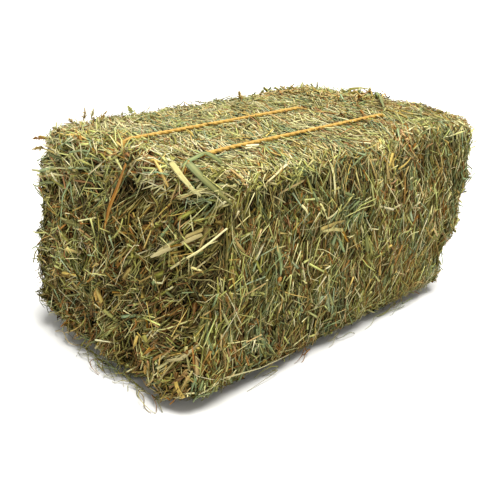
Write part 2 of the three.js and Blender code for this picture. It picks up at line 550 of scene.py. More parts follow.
@dataclass(frozen=True)
class HayFinish:
    """Dry hay. On its map u picks the strand's kind and goes round it, and v goes from dark to bright: the
    shade, partly painted shade.
    """

    columns: int = 64
    margin: float = 0.1
    edge: float = 0.02
    tones: tuple = (
        (Tint.STRAW, (0.76, 0.715, 0.425)),
        (Tint.YELLOW_GREEN, (0.51, 0.54, 0.205)),
        (Tint.OLIVE, (0.285, 0.30, 0.085)),
        (Tint.DARK_OLIVE, (0.105, 0.13, 0.040)),
        (Tint.BROWN, (0.34, 0.170, 0.045)),
        (Tint.TAN, (0.61, 0.45, 0.185)),
        (Tint.GREY_GREEN, (0.275, 0.375, 0.225)),
        (Tint.RUST, (0.41, 0.195, 0.062)),
    )
    # Shade scale on v, darker and browner towards 0. The lays set deep, sunken and less lit strands low on
    # it, as painted shade.
    shades: tuple = (
        (0.0, (0.060, 0.040, 0.010)),
        (0.35, (0.30, 0.25, 0.105)),
        (0.7, (0.74, 0.72, 0.58)),
        (1.0, (1.0, 1.0, 1.0)),
    )
    lowest_hue: float = 0.485
    hue_spread: float = 0.03
    lowest_saturation: float = 0.80
    saturation_spread: float = 0.35
    lowest_value: float = 0.80
    value_spread: float = 0.4
    veins: float = 7.0
    vein_breaks: float = 9.0
    spots_across: float = 1.5
    spots_along: float = 60.0
    streak_tone: tuple[float, float, float] = (0.52, 0.47, 0.38)
    streak_gain: float = 1.3
    streak_start: float = 0.2
    worn_tone: tuple[float, float, float] = (0.22, 0.14, 0.06)
    worn_gain: float = 1.1
    ridge_highlight_tone: tuple[float, float, float] = (0.46, 0.40, 0.14)
    ridge_highlight_place: float = 0.36
    ridge_highlight_narrowness: float = 9.0
    ridge_highlight_strength: float = 0.20
    smoothest: float = 0.5
    roughness_spread: float = 0.35

    def strip(self, rng: Generator, tint: Array, shade: Array, reach: float = 0.12) -> tuple[Array, Array]:
        """The strip of the map that each strand takes its colour from.

        Args:
            rng: picks one of the kind's columns and which end of the strand is the brighter one.
            tint: the kind of each strand.
            shade: how bright each is, from 0 to 1.
            reach: how much of v it runs through.

        Returns:
            The (u, v) at its first and at its last side and station.
        """
        per_tint = self.columns // len(self.tones)
        column = tint * per_tint + rng.integers(0, per_tint, len(tint))
        u = (column[:, None] + np.array([self.margin, 1 - self.margin])) / self.columns
        middle = np.clip(shade, self.edge + reach / 2, 1 - self.edge - reach / 2)
        turn = np.where(rng.random(len(tint)) < 0.5, -1, 1) * reach / 2
        return np.stack([u[:, 0], middle - turn], -1), np.stack([u[:, 1], middle + turn], -1)

    def material(self) -> bpy.types.Material:
        """Colour is the kind's tone, varied by column, times the shade at v, streaked along the strand, with
        a painted highlight along its ridge.

        Returns:
            The material.
        """
        shader = Shader("dry hay")
        u, v = shader.on_map()
        column = (u * self.columns).floor()
        around = u * self.columns - column
        stops = [(tint / len(self.tones), tone) for tint, tone in self.tones]
        tone = shader.node("ShaderNodeValToRGB", {"stops": stops, "interpolation": "CONSTANT"}, {0: u})
        chance = shader.node("ShaderNodeTexWhiteNoise", {"noise_dimensions": "1D"}, {"W": column + 0.5})
        drawn = shader.node("ShaderNodeSeparateXYZ", None, {0: chance.out("Color")})
        varied = shader.node("ShaderNodeHueSaturation", None, {
            "Hue": drawn * self.hue_spread + self.lowest_hue,
            "Saturation": drawn.out("Y") * self.saturation_spread + self.lowest_saturation,
            "Value": drawn.out("Z") * self.value_spread + self.lowest_value,
            "Color": tone})
        shade = shader.node("ShaderNodeValToRGB", {"stops": self.shades}, {0: v})
        lit = shader.mix("MULTIPLY", 1.0, varied, shade)
        streak = shader.noise(u * self.columns * self.veins, v * self.vein_breaks, 0.0, 2.0)
        blotch = shader.noise(u * self.columns * self.spots_across, v * self.spots_along, 3.0, 1.0)
        streaked = shader.mix("MULTIPLY", streak * self.streak_gain - self.streak_start, lit,
                              (*self.streak_tone, 1.0))
        worn = shader.mix("MIX", (blotch - 0.5) * self.worn_gain, streaked, (*self.worn_tone, 1.0))
        # A painted highlight, screened in along each strand's ridge.
        ridge_highlight = (1.0 - around.distance(self.ridge_highlight_place) * self.ridge_highlight_narrowness) * self.ridge_highlight_strength
        highlighted = shader.mix("SCREEN", ridge_highlight, worn, (*self.ridge_highlight_tone, 1.0))
        bump = shader.node("ShaderNodeBump", None, {"Strength": 0.5, "Distance": 0.0003, "Height": streak})
        rough = self.smoothest + streak * self.roughness_spread
        return shader.finish(highlighted, rough, bump, **{"Specular IOR Level": 0.12})


@dataclass(frozen=True)
class TwineFinish:
    """Amber twine. On its map the loop is cut into strips side by side: u goes round, v goes along."""

    strips: int = 8
    pale: tuple[float, float, float] = (0.45, 0.285, 0.055)
    deep: tuple[float, float, float] = (0.27, 0.140, 0.018)
    fibres_across: float = 9.0
    fibres_along: float = 60.0
    fibre_gain: float = 1.6
    stains_across: float = 0.7
    stains_along: float = 9.0
    stain_gain: float = 1.2
    paleness: float = 0.55

    def material(self) -> bpy.types.Material:
        """Colour runs between deep and pale with fine fibres along the ply and slow stains.

        Returns:
            The material.
        """
        shader = Shader("amber twine")
        u, v = shader.on_map()
        fine = shader.noise(u * self.strips * self.fibres_across, v * self.fibres_along, 0.0, 3.0)
        stain = shader.noise(u * self.strips * self.stains_across, v * self.stains_along, 5.0, 2.0)
        share = (fine - 0.5) * self.fibre_gain + (stain - 0.5) * self.stain_gain + self.paleness
        colour = shader.mix("MIX", share, (*self.deep, 1.0), (*self.pale, 1.0))
        bump = shader.node("ShaderNodeBump", None, {"Strength": 0.6, "Distance": 0.0003, "Height": fine})
        return shader.finish(colour, 0.5 + fine * 0.3, bump, **{"Specular IOR Level": 0.4})


@dataclass(frozen=True)
class FloorFinish:
    """The pale studio floor, a little uneven in tone."""

    pale: tuple[float, float, float] = (0.58, 0.58, 0.575)
    dull: tuple[float, float, float] = (0.56, 0.56, 0.555)

    def material(self) -> bpy.types.Material:
        """Colour runs between the two pale tones with a slow noise over the floor.

        Returns:
            The material.
        """
        shader = Shader("pale floor")
        place = shader.node("ShaderNodeTexCoord").out("Object")
        slow = shader.node("ShaderNodeTexNoise", None, {"Vector": place, "Scale": 0.8, "Detail": 2.0})
        colour = shader.mix("MIX", slow, (*self.pale, 1.0), (*self.dull, 1.0))
        bump = shader.node("ShaderNodeBump", None, {"Strength": 0.02, "Distance": 0.001, "Height": slow})
        return shader.finish(colour, 0.75 + slow * 0.1, bump, **{"Specular IOR Level": 0.2})


# ------------------------------------------------------------
# Hay


@dataclass
class Strands:
    """Strands of hay as arrays, one row a strand, all with the same number of stations."""

    path: Array
    outward: Array
    half: Array
    roll: Array
    section: Section
    low: Array
    high: Array

    def corners(self, form: BaleForm) -> Array:
        """The vertices of every strand on the settled bale, (strands, stations, sides, 3)."""
        return form.settle(carry(self.path, self.outward, self.half, self.section, self.roll))

    def share_out(self, form: BaleForm, meshers: list[Mesher]) -> None:
        """Adds each strand to the flake that its middle lies in.

        Args:
            form: the plain block and how it settles.
            meshers: one for each flake, from the front end on.
        """
        corners = self.corners(form)
        middle = self.path[:, self.path.shape[1] // 2, 0]
        flake = np.searchsorted(form.cuts[1:-1], middle)
        for index, mesher in enumerate(meshers):
            mine = flake == index
            if mine.any():
                shape = corners[mine].shape
                faces = tube_faces(shape[0], shape[1], shape[2], self.low[mine], self.high[mine])
                mesher.add(corners[mine].reshape(-1, 3), faces)


@dataclass(frozen=True)
class TwineRun:
    """Where a twine lies and where it shows between the hay, in the block's own lengths."""

    name: str
    across: float
    knot_height: float
    top_shows: tuple[float, float]
    front_shows: tuple[float, float]
    back_shows: tuple[float, float]
    radius: float = 0.0033
    depth: float = -0.0004
    sink: float = 0.014
    fade: float = 0.045
    dip: float = 0.0
    dip_reach: float = 0.06
    touch: float = 0.012

    def dips(self, points: Array) -> Array:
        """How far the twine bites into the hay: a bell curve about the front edge."""
        return self.dip * np.exp(-((points[..., 0] / self.dip_reach) ** 2))

    def shows(self, form: BaleForm, points: Array) -> Array:
        """How far the twine is in sight at points of the block's surface, from 0 to 1.

        On the top, the front and the back it fades in and out at the ends of the stretch that shows,
        as a smooth step over the fade length. Underneath it always shows.

        Args:
            form: the plain block and how it settles.
            points: places on the plain block.

        Returns:
            A share for each point.
        """
        x, z = points[..., 0], points[..., 2]
        touch = self.touch

        def within(value: Array, span: tuple[float, float]) -> Array:
            """1 inside the span and 0 outside, with a smooth step over the fade length at each end.

            Args:
                value: distances along the side.
                span: the two ends of the stretch.

            Returns:
                The share for each distance.
            """
            inside = np.minimum(value - span[0], span[1] - value) / self.fade
            ease = np.clip(inside + 0.5, 0, 1)
            return ease * ease * (3 - 2 * ease)

        shown = np.where(z < touch, 1.0, 0.0)
        shown = np.where(z > form.height - touch, within(x, self.top_shows), shown)
        shown = np.where((x < touch) & (z >= touch), within(z, self.front_shows), shown)
        return np.where((x > form.length - touch) & (z >= touch), within(z, self.back_shows), shown)


TWINES = (
    TwineRun("twine_near", 0.104, 0.214, (0.020, 0.486), (0.02, 0.06), (0.10, 0.30), dip=0.005),
    TwineRun("twine_far", 0.231, 0.186, (0.002, 0.411), (0.10, 0.14), (0.06, 0.28)),
)


@dataclass(frozen=True)
class Lay:
    """One way in which strands lie on a side of the bale, with angles in degrees.

    Density is strands a square metre, and the patch is the part of the side they cover. Of their
    heading, spread is the random part, sway the slow one and stray the share that points anywhere.
    Height is their middle's above the surface, tilt how far the ends stand over and under it, lift
    how loose the ends are and loosest their limit. Sunk is how far they follow the hay's sag and are
    darkened in it, as painted shade, with some dirt, in the hollows. Clump is how far the bale's slow
    tone field moves their shade, which the glows shift as well.
    """

    side: Side
    density: float
    length: tuple[float, float]
    width: tuple[float, float]
    mixture: Mixture
    shade: tuple[float, float]
    heading: float = 90.0
    spread: float = 14.0
    stray: float = 0.15
    sway: float = 12.0
    corner_lean: float = 0.0
    fan: float = 0.0
    height: tuple[float, float] = (-0.004, 0.0)
    tilt: float = 0.0025
    lift: float = 0.002
    bend: float = 10.0
    kink: float = 12.0
    thinness: float = 2.0
    flatness: float = 0.32
    thickest: float = 0.0011
    roll: float = 22.0
    twist: float = 25.0
    stations: int = 3
    section: Section = Section.BLADE
    patch: tuple[float, float, float, float] = (0.0, 1.0, 0.0, 1.0)
    loosest: float = 0.011
    clump: float = 0.09
    sunk: float = 1.0
    scatter: float = 0.004
    kink_chance: float = 0.4
    tip: tuple[float, float] = (0.25, 1.0)

    def strands(self, bale: "HayBale", rng: Generator) -> Strands:
        """Lays the strands.

        Middles are spread evenly over the side's patch. Each strand is an arc in the side's plane,
        with kinks, whose heading is the lay's own plus a slow sway and a random part. It is folded
        over the edges, rounded with them and lifted by middle height + tilt t + lift (2 t)^2 - sunk
        sag, with t from -1/2 to 1/2 along it. Its width tapers to its tips as 1 - (1 - tip) (2 t)^2.

        Args:
            bale: gives the form, the fields and the finish.
            rng: source of every random draw.

        Returns:
            The strands, in block space.
        """
        form = bale.form
        axis, far, first, second = self.side.value
        area = form.sizes[first] * form.sizes[second]
        a0, a1, b0, b1 = self.patch
        count = int(self.density * area * (a1 - a0) * (b1 - b0))
        spot = (np.arange(count)[:, None] * np.array(EVEN_STEPS) + rng.random(2)) % 1
        spot = (spot + rng.normal(0, self.scatter, (count, 2))).clip(0, 1)
        middle = np.zeros((count, 3))
        middle[:, axis] = form.sizes[axis] if far else 0.0
        middle[:, first] = form.sizes[first] * (a0 + (a1 - a0) * spot[:, 0])
        middle[:, second] = form.sizes[second] * (b0 + (b1 - b0) * spot[:, 1])

        lean = self.corner_lean * np.exp(-((middle[:, 0] / bale.lean_reach) ** 2))
        flow = bale.flow if axis else bale.bundles
        lean = lean + self.fan * (middle[:, first] / form.sizes[first] - 0.5)
        heading = self.heading + lean + self.sway * flow.at(middle) + rng.normal(0, self.spread, count)
        heading = np.radians(np.where(rng.random(count) < self.stray, rng.uniform(0, 360, count), heading))
        steps = self.stations - 1
        turn = (np.arange(steps) + 0.5) / steps - 0.5
        bent = heading[:, None] + np.radians(rng.normal(0, self.bend, (count, 1))) * turn
        kinks = rng.normal(0, self.kink, (count, steps)) * (rng.random((count, steps)) < self.kink_chance)
        bent = bent + np.radians(np.cumsum(kinks, 1) - kinks.sum(1, keepdims=True) / 2)
        length = rng.uniform(*self.length, count)
        step = length[:, None, None] / steps * np.stack([np.cos(bent), np.sin(bent)], -1)
        run = np.concatenate([np.zeros((count, 1, 2)), np.cumsum(step, 1)], 1)
        run -= run.mean(1, keepdims=True)
        plain = np.repeat(middle[:, None], self.stations, 1)
        plain[..., first] += run[..., 0]
        plain[..., second] += run[..., 1]
        plain = form.fold(plain, self.side)

        t = np.linspace(-0.5, 0.5, self.stations)
        level = rng.uniform(*self.height, count)
        tilt = rng.normal(0, self.tilt, count) * 2
        loose = rng.exponential(self.lift, (count, 2)).clip(0, self.loosest)
        ends = loose[:, :1] * np.clip(-2 * t, 0, 1) ** 2 + loose[:, 1:] * np.clip(2 * t, 0, 1) ** 2
        height = level[:, None] + tilt[:, None] * t + ends
        height = height - self.sunk * bale.sag(plain)
        height = bale.raised(plain, height, rng.random(count) < bale.crossing)
        path, outward = form.snap(plain, height)

        width = self.width[0] + (self.width[1] - self.width[0]) * rng.random(count) ** self.thinness
        tips = rng.uniform(*self.tip, (count, 2))
        first_tip = (1 - tips[:, :1]) * np.clip(-2 * t, 0, 1) ** 2
        last_tip = (1 - tips[:, 1:]) * np.clip(2 * t, 0, 1) ** 2
        taper = 1 - first_tip - last_tip
        depth = np.minimum(width * self.flatness, self.thickest)
        half = 0.5 * np.stack([width, depth], -1)[:, None] * taper[..., None]
        roll = np.radians(rng.normal(0, self.roll, (count, 1)) + rng.normal(0, self.twist, (count, 1)) * t)
        tint = bale.choose(rng, middle, self.mixture)
        shade = rng.uniform(*self.shade, count) + self.clump * bale.tone.at(middle)
        # Strands in the sag, the dents and the dip below the top's rim, are darkened: painted shade, with
        # some dirt, in the hollows.
        shade = shade - self.sunk * bale.hollow_shade * bale.sag(middle) + sum(bell.at(middle) for bell in GLOWS)
        low, high = bale.finish.strip(rng, tint, shade)
        return Strands(path, outward, half, roll, self.section, low, high)


# How far browning favours each kind of strand, in the order of Tint.
WARMTH = (0.0, -0.5, -0.3, -0.4, 1.0, 0.6, -1.0, 1.2)


@dataclass(frozen=True)
class Bell:
    """A bell curve about a point of the plain block, of that radius and size."""

    point: tuple[float, float, float]
    radius: float
    size: float

    def at(self, points: Array) -> Array:
        """Its value at points: size times exp(-(distance / radius)^2)."""
        return self.size * np.exp(-((points - np.array(self.point)) ** 2).sum(-1) / self.radius**2)


def dent(x: float, y: float, z: float, radius: float, depth: float) -> Bell:
    """A place where the hay has fallen in, by that depth."""
    return Bell((x, y, z), radius, depth)


def glow(x: float, y: float, z: float, radius: float, gain: float) -> Bell:
    """A place where the strands' shade is raised by that much of the shade scale, or lowered if it is
    negative.
    """
    return Bell((x, y, z), radius, gain)


# Low places, on the front end, the near side and the back end. The strands in them are also darkened, as
# painted shade.
DENTS = (
    dent(0.0, 0.150, 0.284, 0.038, 0.017), dent(0.0, 0.085, 0.195, 0.024, 0.007),
    dent(0.0, 0.126, 0.092, 0.022, 0.007),
    dent(0.0, 0.028, 0.283, 0.028, 0.007), dent(0.0, 0.028, 0.245, 0.030, 0.013),
    dent(0.0, 0.215, 0.262, 0.026, 0.008), dent(0.0, 0.150, 0.234, 0.030, 0.008),
    dent(0.0, 0.345, 0.240, 0.034, 0.012), dent(0.0, 0.120, 0.165, 0.024, 0.006),
    dent(0.0, 0.060, 0.150, 0.022, 0.004), dent(0.0, 0.028, 0.127, 0.026, 0.010),
    dent(0.0, 0.185, 0.100, 0.022, 0.004), dent(0.0, 0.223, 0.060, 0.030, 0.014),
    dent(0.0, 0.126, 0.055, 0.022, 0.008), dent(0.045, 0.0, 0.288, 0.026, 0.010),
    dent(0.122, 0.0, 0.270, 0.030, 0.016), dent(0.171, 0.0, 0.313, 0.026, 0.010),
    dent(0.165, 0.0, 0.205, 0.026, 0.005), dent(0.060, 0.0, 0.120, 0.022, 0.004),
    dent(0.220, 0.0, 0.068, 0.026, 0.013),
    dent(0.074, 0.0, 0.217, 0.022, 0.005), dent(0.464, 0.0, 0.270, 0.028, 0.014),
    dent(0.528, 0.0, 0.313, 0.036, 0.010), dent(0.568, 0.0, 0.120, 0.022, 0.005),
    dent(0.512, 0.0, 0.217, 0.024, 0.005), dent(0.464, 0.0, 0.168, 0.022, 0.004),
    dent(0.636, 0.120, 0.220, 0.032, 0.009), dent(0.636, 0.300, 0.130, 0.030, 0.008),
)

# Places whose shade is raised or lowered, on the front end, the near side and the top.
GLOWS = (
    glow(0.0, 0.400, 0.280, 0.036, 0.26), glow(0.0, 0.271, 0.200, 0.045, 0.10),
    glow(0.0, 0.230, 0.320, 0.036, 0.08), glow(0.0, 0.330, 0.320, 0.040, 0.08),
    glow(0.0, 0.126, 0.204, 0.022, 0.14),
    glow(0.0, 0.200, 0.150, 0.040, 0.17), glow(0.0, 0.330, 0.168, 0.036, 0.11),
    glow(0.0, 0.345, 0.100, 0.036, 0.17), glow(0.0, 0.271, 0.058, 0.028, 0.24),
    glow(0.0, 0.300, 0.092, 0.034, 0.14),
    glow(0.0, 0.175, 0.131, 0.026, 0.10), glow(0.0, 0.078, 0.280, 0.026, 0.12),
    glow(0.0, 0.370, 0.052, 0.036, 0.20), glow(0.0, 0.040, 0.092, 0.020, 0.12),
    glow(0.0, 0.126, 0.320, 0.026, 0.16), glow(0.030, 0.0, 0.168, 0.024, 0.10),
    glow(0.245, 0.0, 0.120, 0.034, 0.12), glow(0.360, 0.0, 0.122, 0.034, 0.11),
    glow(0.490, 0.0, 0.125, 0.040, 0.12), glow(0.600, 0.0, 0.060, 0.040, 0.12),
    glow(0.171, 0.0, 0.225, 0.016, 0.08),
    # The three with negative gains at y = 0.020 on the top are painted shade along the top's near rim, where
    # the light falls brightest.
    glow(0.142, 0.100, 0.334, 0.050, 0.14), glow(0.493, 0.020, 0.334, 0.035, -0.22),
    glow(0.290, 0.020, 0.334, 0.060, -0.13), glow(0.142, 0.020, 0.334, 0.035, -0.12),
    glow(0.0, 0.030, 0.318, 0.028, -0.12), glow(0.142, 0.280, 0.334, 0.070, 0.16),
    glow(0.376, 0.262, 0.334, 0.040, 0.20), glow(0.545, 0.300, 0.334, 0.050, 0.20),
    glow(0.552, 0.130, 0.334, 0.050, 0.16), glow(0.493, 0.184, 0.334, 0.034, 0.14),
)


@dataclass
class HayBale:
    """The ten flakes of hay: a core each, dark as painted shade for the depth, and the strands that lie over
    it.
    """

    form: BaleForm
    finish: HayFinish = HayFinish()
    core_depth: float = 0.014
    core_cell: float = 0.016
    lean_reach: float = 0.20
    # How far a metre of sag darkens a strand's shade: painted shade, with some dirt, in the hollows.
    hollow_shade: float = 13.0
    eave: float = 0.007
    eave_drop: float = 0.038
    eave_width: float = 0.014
    kind_share: float = 0.45
    browning_share: float = 0.55
    crossing: float = 0.03
    highest: float = 0.0175
    stiffness: float = 0.85
    clearance: float = 0.0048
    valley: float = 0.45
    mound: float = 0.0022
    end_mound: float = 0.0075
    end_mound_reach: float = 0.02
    swell_share: float = 0.7
    lump_share: float = 0.5
    eave_middle: float = 0.8
    eave_spread: float = 0.5
    eave_most: float = 1.6
    twine_reach: float = 0.05
    cover: float = 0.03
    bridge_low: float = 0.0006
    bridge_rise: float = 0.0018
    bridge_reach: float = 0.006
    core_roughness: float = 0.003
    seed: int = SEED

    def __post_init__(self) -> None:
        """Draws the slow fields that the whole bale shares."""
        rng = np.random.default_rng(self.seed)
        self.flow = Waves(rng, 0.11)
        self.bundles = Waves(rng, 0.055)
        self.tone = Waves(rng, 0.09)
        self.swell = Waves(rng, 0.07)
        self.lumps = Waves(rng, 0.028)
        self.kinds = [Waves(rng, 0.10) for _ in Tint]
        self.flake_lean = rng.normal(0, 0.35, (self.form.flake_count, len(Tint)))
        self.browning = Waves(rng, 0.05)

    def choose(self, rng: Generator, points: Array, mixture: Mixture) -> Array:
        """Picks each strand's kind.

        Each kind scores the logarithm of its share, plus a field of its own at the point, plus what
        its flake favours, plus a Gumbel draw, and the highest score wins.

        Args:
            rng: source of every random draw.
            points: a place on the plain block for each strand.
            mixture: the share of each kind.

        Returns:
            The kind of each strand.
        """
        share = np.array([mixture.get(tint, 0.0) for tint in Tint])
        slow = np.stack([waves.at(points) for waves in self.kinds], -1)
        flake = np.searchsorted(self.form.cuts[1:-1], points[..., 0])
        score = np.log(share + 1e-9) + self.kind_share * slow + self.flake_lean[flake]
        score = score + self.browning_share * self.browning.at(points)[:, None] * np.array(WARMTH)
        return np.argmax(score + rng.gumbel(size=score.shape), -1)

    def sag(self, plain: Array) -> Array:
        """How far the hay has fallen in: the dents, and a patchy bell curve just below the top's rim.
        The strands also take it as painted shade.

        Args:
            plain: places on the plain block.

        Returns:
            The depth at each.
        """
        below = (self.form.height - plain[..., 2] - self.eave_drop) / self.eave_width
        patchy = np.clip(self.eave_middle + self.eave_spread * self.swell.at(plain), 0, self.eave_most)
        return self.eave * patchy * np.exp(-below**2) + sum(bell.at(plain) for bell in DENTS)

    def mounds(self, plain: Array) -> Array:
        """How far the surface swells in and out: two smooth fields, stronger on the two ends.

        Args:
            plain: places on the plain block.

        Returns:
            The height at each.
        """
        ends = np.minimum(plain[..., 0], self.form.length - plain[..., 0])
        mound = self.mound + (self.end_mound - self.mound) * np.exp(-((ends / self.end_mound_reach) ** 2))
        return mound * (self.swell_share * self.swell.at(plain) + self.lump_share * self.lumps.at(plain))

    def raised(self, plain: Array, height: Array, over: Array) -> Array:
        """Heights above the surface once the mounds, the grooves and the twines have had their say.

        Args:
            plain: stations on the plain block.
            height: the strand's own height at each.
            over: strands that cross over a twine instead of lying under it.

        Returns:
            The heights that the strands are laid at.
        """
        form = self.form
        height = height + self.mounds(plain) - form.groove(plain[..., 0])
        for twine in TWINES:
            gap = np.abs(plain[..., 1] - twine.across)
            shown = twine.shows(form, plain)
            slope = self.valley * np.maximum(gap - twine.radius, 0)
            cap = -self.clearance + slope + self.cover * (1 - shown)
            cap = cap - twine.dips(plain)
            hump = self.bridge_rise * np.exp(-((gap / self.bridge_reach) ** 2)) * shown
            bridge = np.maximum(height, self.bridge_low) + hump
            close = gap < self.twine_reach
            under = np.where(close, np.minimum(height, cap), height)
            height = np.where(close & over[:, None], bridge, under)
        return np.minimum(height, self.highest)

    def core(self, index: int) -> tuple[Array, list[tuple[Array, Array]]]:
        """The inside of a flake, dark as painted shade for the depth of the hay: a fine box lattice, rounded
        and sunk below the strands.

        Every lattice point on the box's surface goes to its snapped place at minus the core depth,
        and a slow noise roughens it.

        Args:
            index: number of the flake, from 0 at the front end.

        Returns:
            Its vertices and its faces, as `Mesher.add` takes them.
        """
        form = self.form
        low = np.array([form.cuts[index], 0.0, 0.0])
        high = np.array([form.cuts[index + 1], form.width, form.height])
        cells = np.maximum(np.round((high - low) / self.core_cell).astype(int), 2)
        spots, places = [], []
        for axis in range(3):
            first, second = (axis + 1) % 3, (axis + 2) % 3
            a, b = np.meshgrid(np.arange(cells[first]), np.arange(cells[second]), indexing="ij")
            for end in (0, cells[axis]):
                ring = [(0, 0), (1, 0), (1, 1), (0, 1)]
                ring = ring if end else ring[::-1]
                quad = np.zeros((a.size, 4, 3), int)
                quad[..., axis] = end
                quad[..., first] = np.stack([a.ravel() + da for da, _ in ring], -1)
                quad[..., second] = np.stack([b.ravel() + db for _, db in ring], -1)
                spots.append(quad)
                places.append(quad[..., [first, second]] / cells[[first, second]])
        quads = np.concatenate(spots)
        base = 1000
        keys = quads @ np.array([1, base, base * base])
        found, numbers = np.unique(keys, return_inverse=True)
        lattice = np.stack([found % base, found // base % base, found // (base * base)], -1)
        plain = low + (high - low) * lattice / cells
        depth = -self.core_depth + self.core_roughness * self.lumps.at(plain) - self.sag(plain)
        points = form.settle(form.snap(plain, depth)[0])
        # Dark olive low on the shade scale: painted shade for the depth of the hay.
        u = (Tint.DARK_OLIVE + 0.1 + 0.8 * np.concatenate(places)[..., 0]) / len(Tint)
        v = 0.02 + 0.08 * np.concatenate(places)[..., 1]
        return points, [(numbers.reshape(quads.shape[:2]), np.stack([u, v], -1))]

    def build(self, lays: list[Lay], extras: list[Strands]) -> list[bpy.types.Object]:
        """Makes one piece of each flake.

        Args:
            lays: how the strands lie, side by side and layer by layer.
            extras: strands placed one by one, and the wisps at the foot.

        Returns:
            The flakes' objects, from the front end on.
        """
        rng = np.random.default_rng(self.seed + 1)
        meshers = [Mesher() for _ in range(self.form.flake_count)]
        for index, mesher in enumerate(meshers):
            mesher.add(*self.core(index))
        for lay in lays:
            lay.strands(self, rng).share_out(self.form, meshers)
        for strands in extras:
            strands.share_out(self.form, meshers)
        material = self.finish.material()
        made = []
        for index, mesher in enumerate(meshers, 1):
            flake = mesher.make(f"hay_flake_{index:02d}", material)
            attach(flake, BODY)
            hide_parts(f"flake_{index:02d}")
            log.info("%s: %d faces", flake.name, len(flake.data.polygons))
            made.append(flake)
        return made


# ------------------------------------------------------------
# How the hay lies


TOP_MIX: Mixture = {Tint.STRAW: 0.38, Tint.YELLOW_GREEN: 0.19, Tint.OLIVE: 0.04, Tint.TAN: 0.16,
                    Tint.GREY_GREEN: 0.14, Tint.RUST: 0.05, Tint.BROWN: 0.04}
SIDE_MIX: Mixture = {Tint.STRAW: 0.10, Tint.YELLOW_GREEN: 0.17, Tint.OLIVE: 0.20, Tint.DARK_OLIVE: 0.12,
                     Tint.BROWN: 0.12, Tint.TAN: 0.10, Tint.GREY_GREEN: 0.15, Tint.RUST: 0.04}
END_MIX: Mixture = {Tint.STRAW: 0.10, Tint.YELLOW_GREEN: 0.15, Tint.OLIVE: 0.18, Tint.DARK_OLIVE: 0.13,
                    Tint.BROWN: 0.23, Tint.TAN: 0.13, Tint.GREY_GREEN: 0.05, Tint.RUST: 0.05}
# Kinds of the deepest layers, the darkest ones: partly painted shade for the depth.
DEEP_MIX: Mixture = {Tint.OLIVE: 0.28, Tint.DARK_OLIVE: 0.32, Tint.BROWN: 0.26, Tint.GREY_GREEN: 0.06,
                     Tint.RUST: 0.08}
PALE_MIX: Mixture = {Tint.STRAW: 0.46, Tint.YELLOW_GREEN: 0.28, Tint.TAN: 0.18, Tint.GREY_GREEN: 0.08}
LEAF_MIX: Mixture = {Tint.GREY_GREEN: 0.34, Tint.OLIVE: 0.26, Tint.YELLOW_GREEN: 0.14, Tint.TAN: 0.16,
                     Tint.BROWN: 0.10}
RUSTY_MIX: Mixture = {Tint.RUST: 0.34, Tint.BROWN: 0.36, Tint.TAN: 0.30}
STUB_MIX: Mixture = {Tint.TAN: 0.50, Tint.STRAW: 0.18, Tint.BROWN: 0.17, Tint.RUST: 0.15}
EAVE_MIX: Mixture = {Tint.TAN: 0.34, Tint.STRAW: 0.30, Tint.YELLOW_GREEN: 0.16, Tint.GREY_GREEN: 0.10,
                     Tint.BROWN: 0.10}
LOOSE_MIX: Mixture = {Tint.OLIVE: 0.22, Tint.GREY_GREEN: 0.18, Tint.YELLOW_GREEN: 0.24, Tint.STRAW: 0.18,
                      Tint.TAN: 0.14, Tint.RUST: 0.04}
CHAFF_MIX: Mixture = {Tint.BROWN: 0.26, Tint.TAN: 0.28, Tint.RUST: 0.12, Tint.YELLOW_GREEN: 0.16,
                      Tint.STRAW: 0.18}


# Settings of a lay whose stems are straight and stiff.
STIFF = {"bend": 3.0, "kink": 0.0, "stations": 2, "section": Section.STEM}


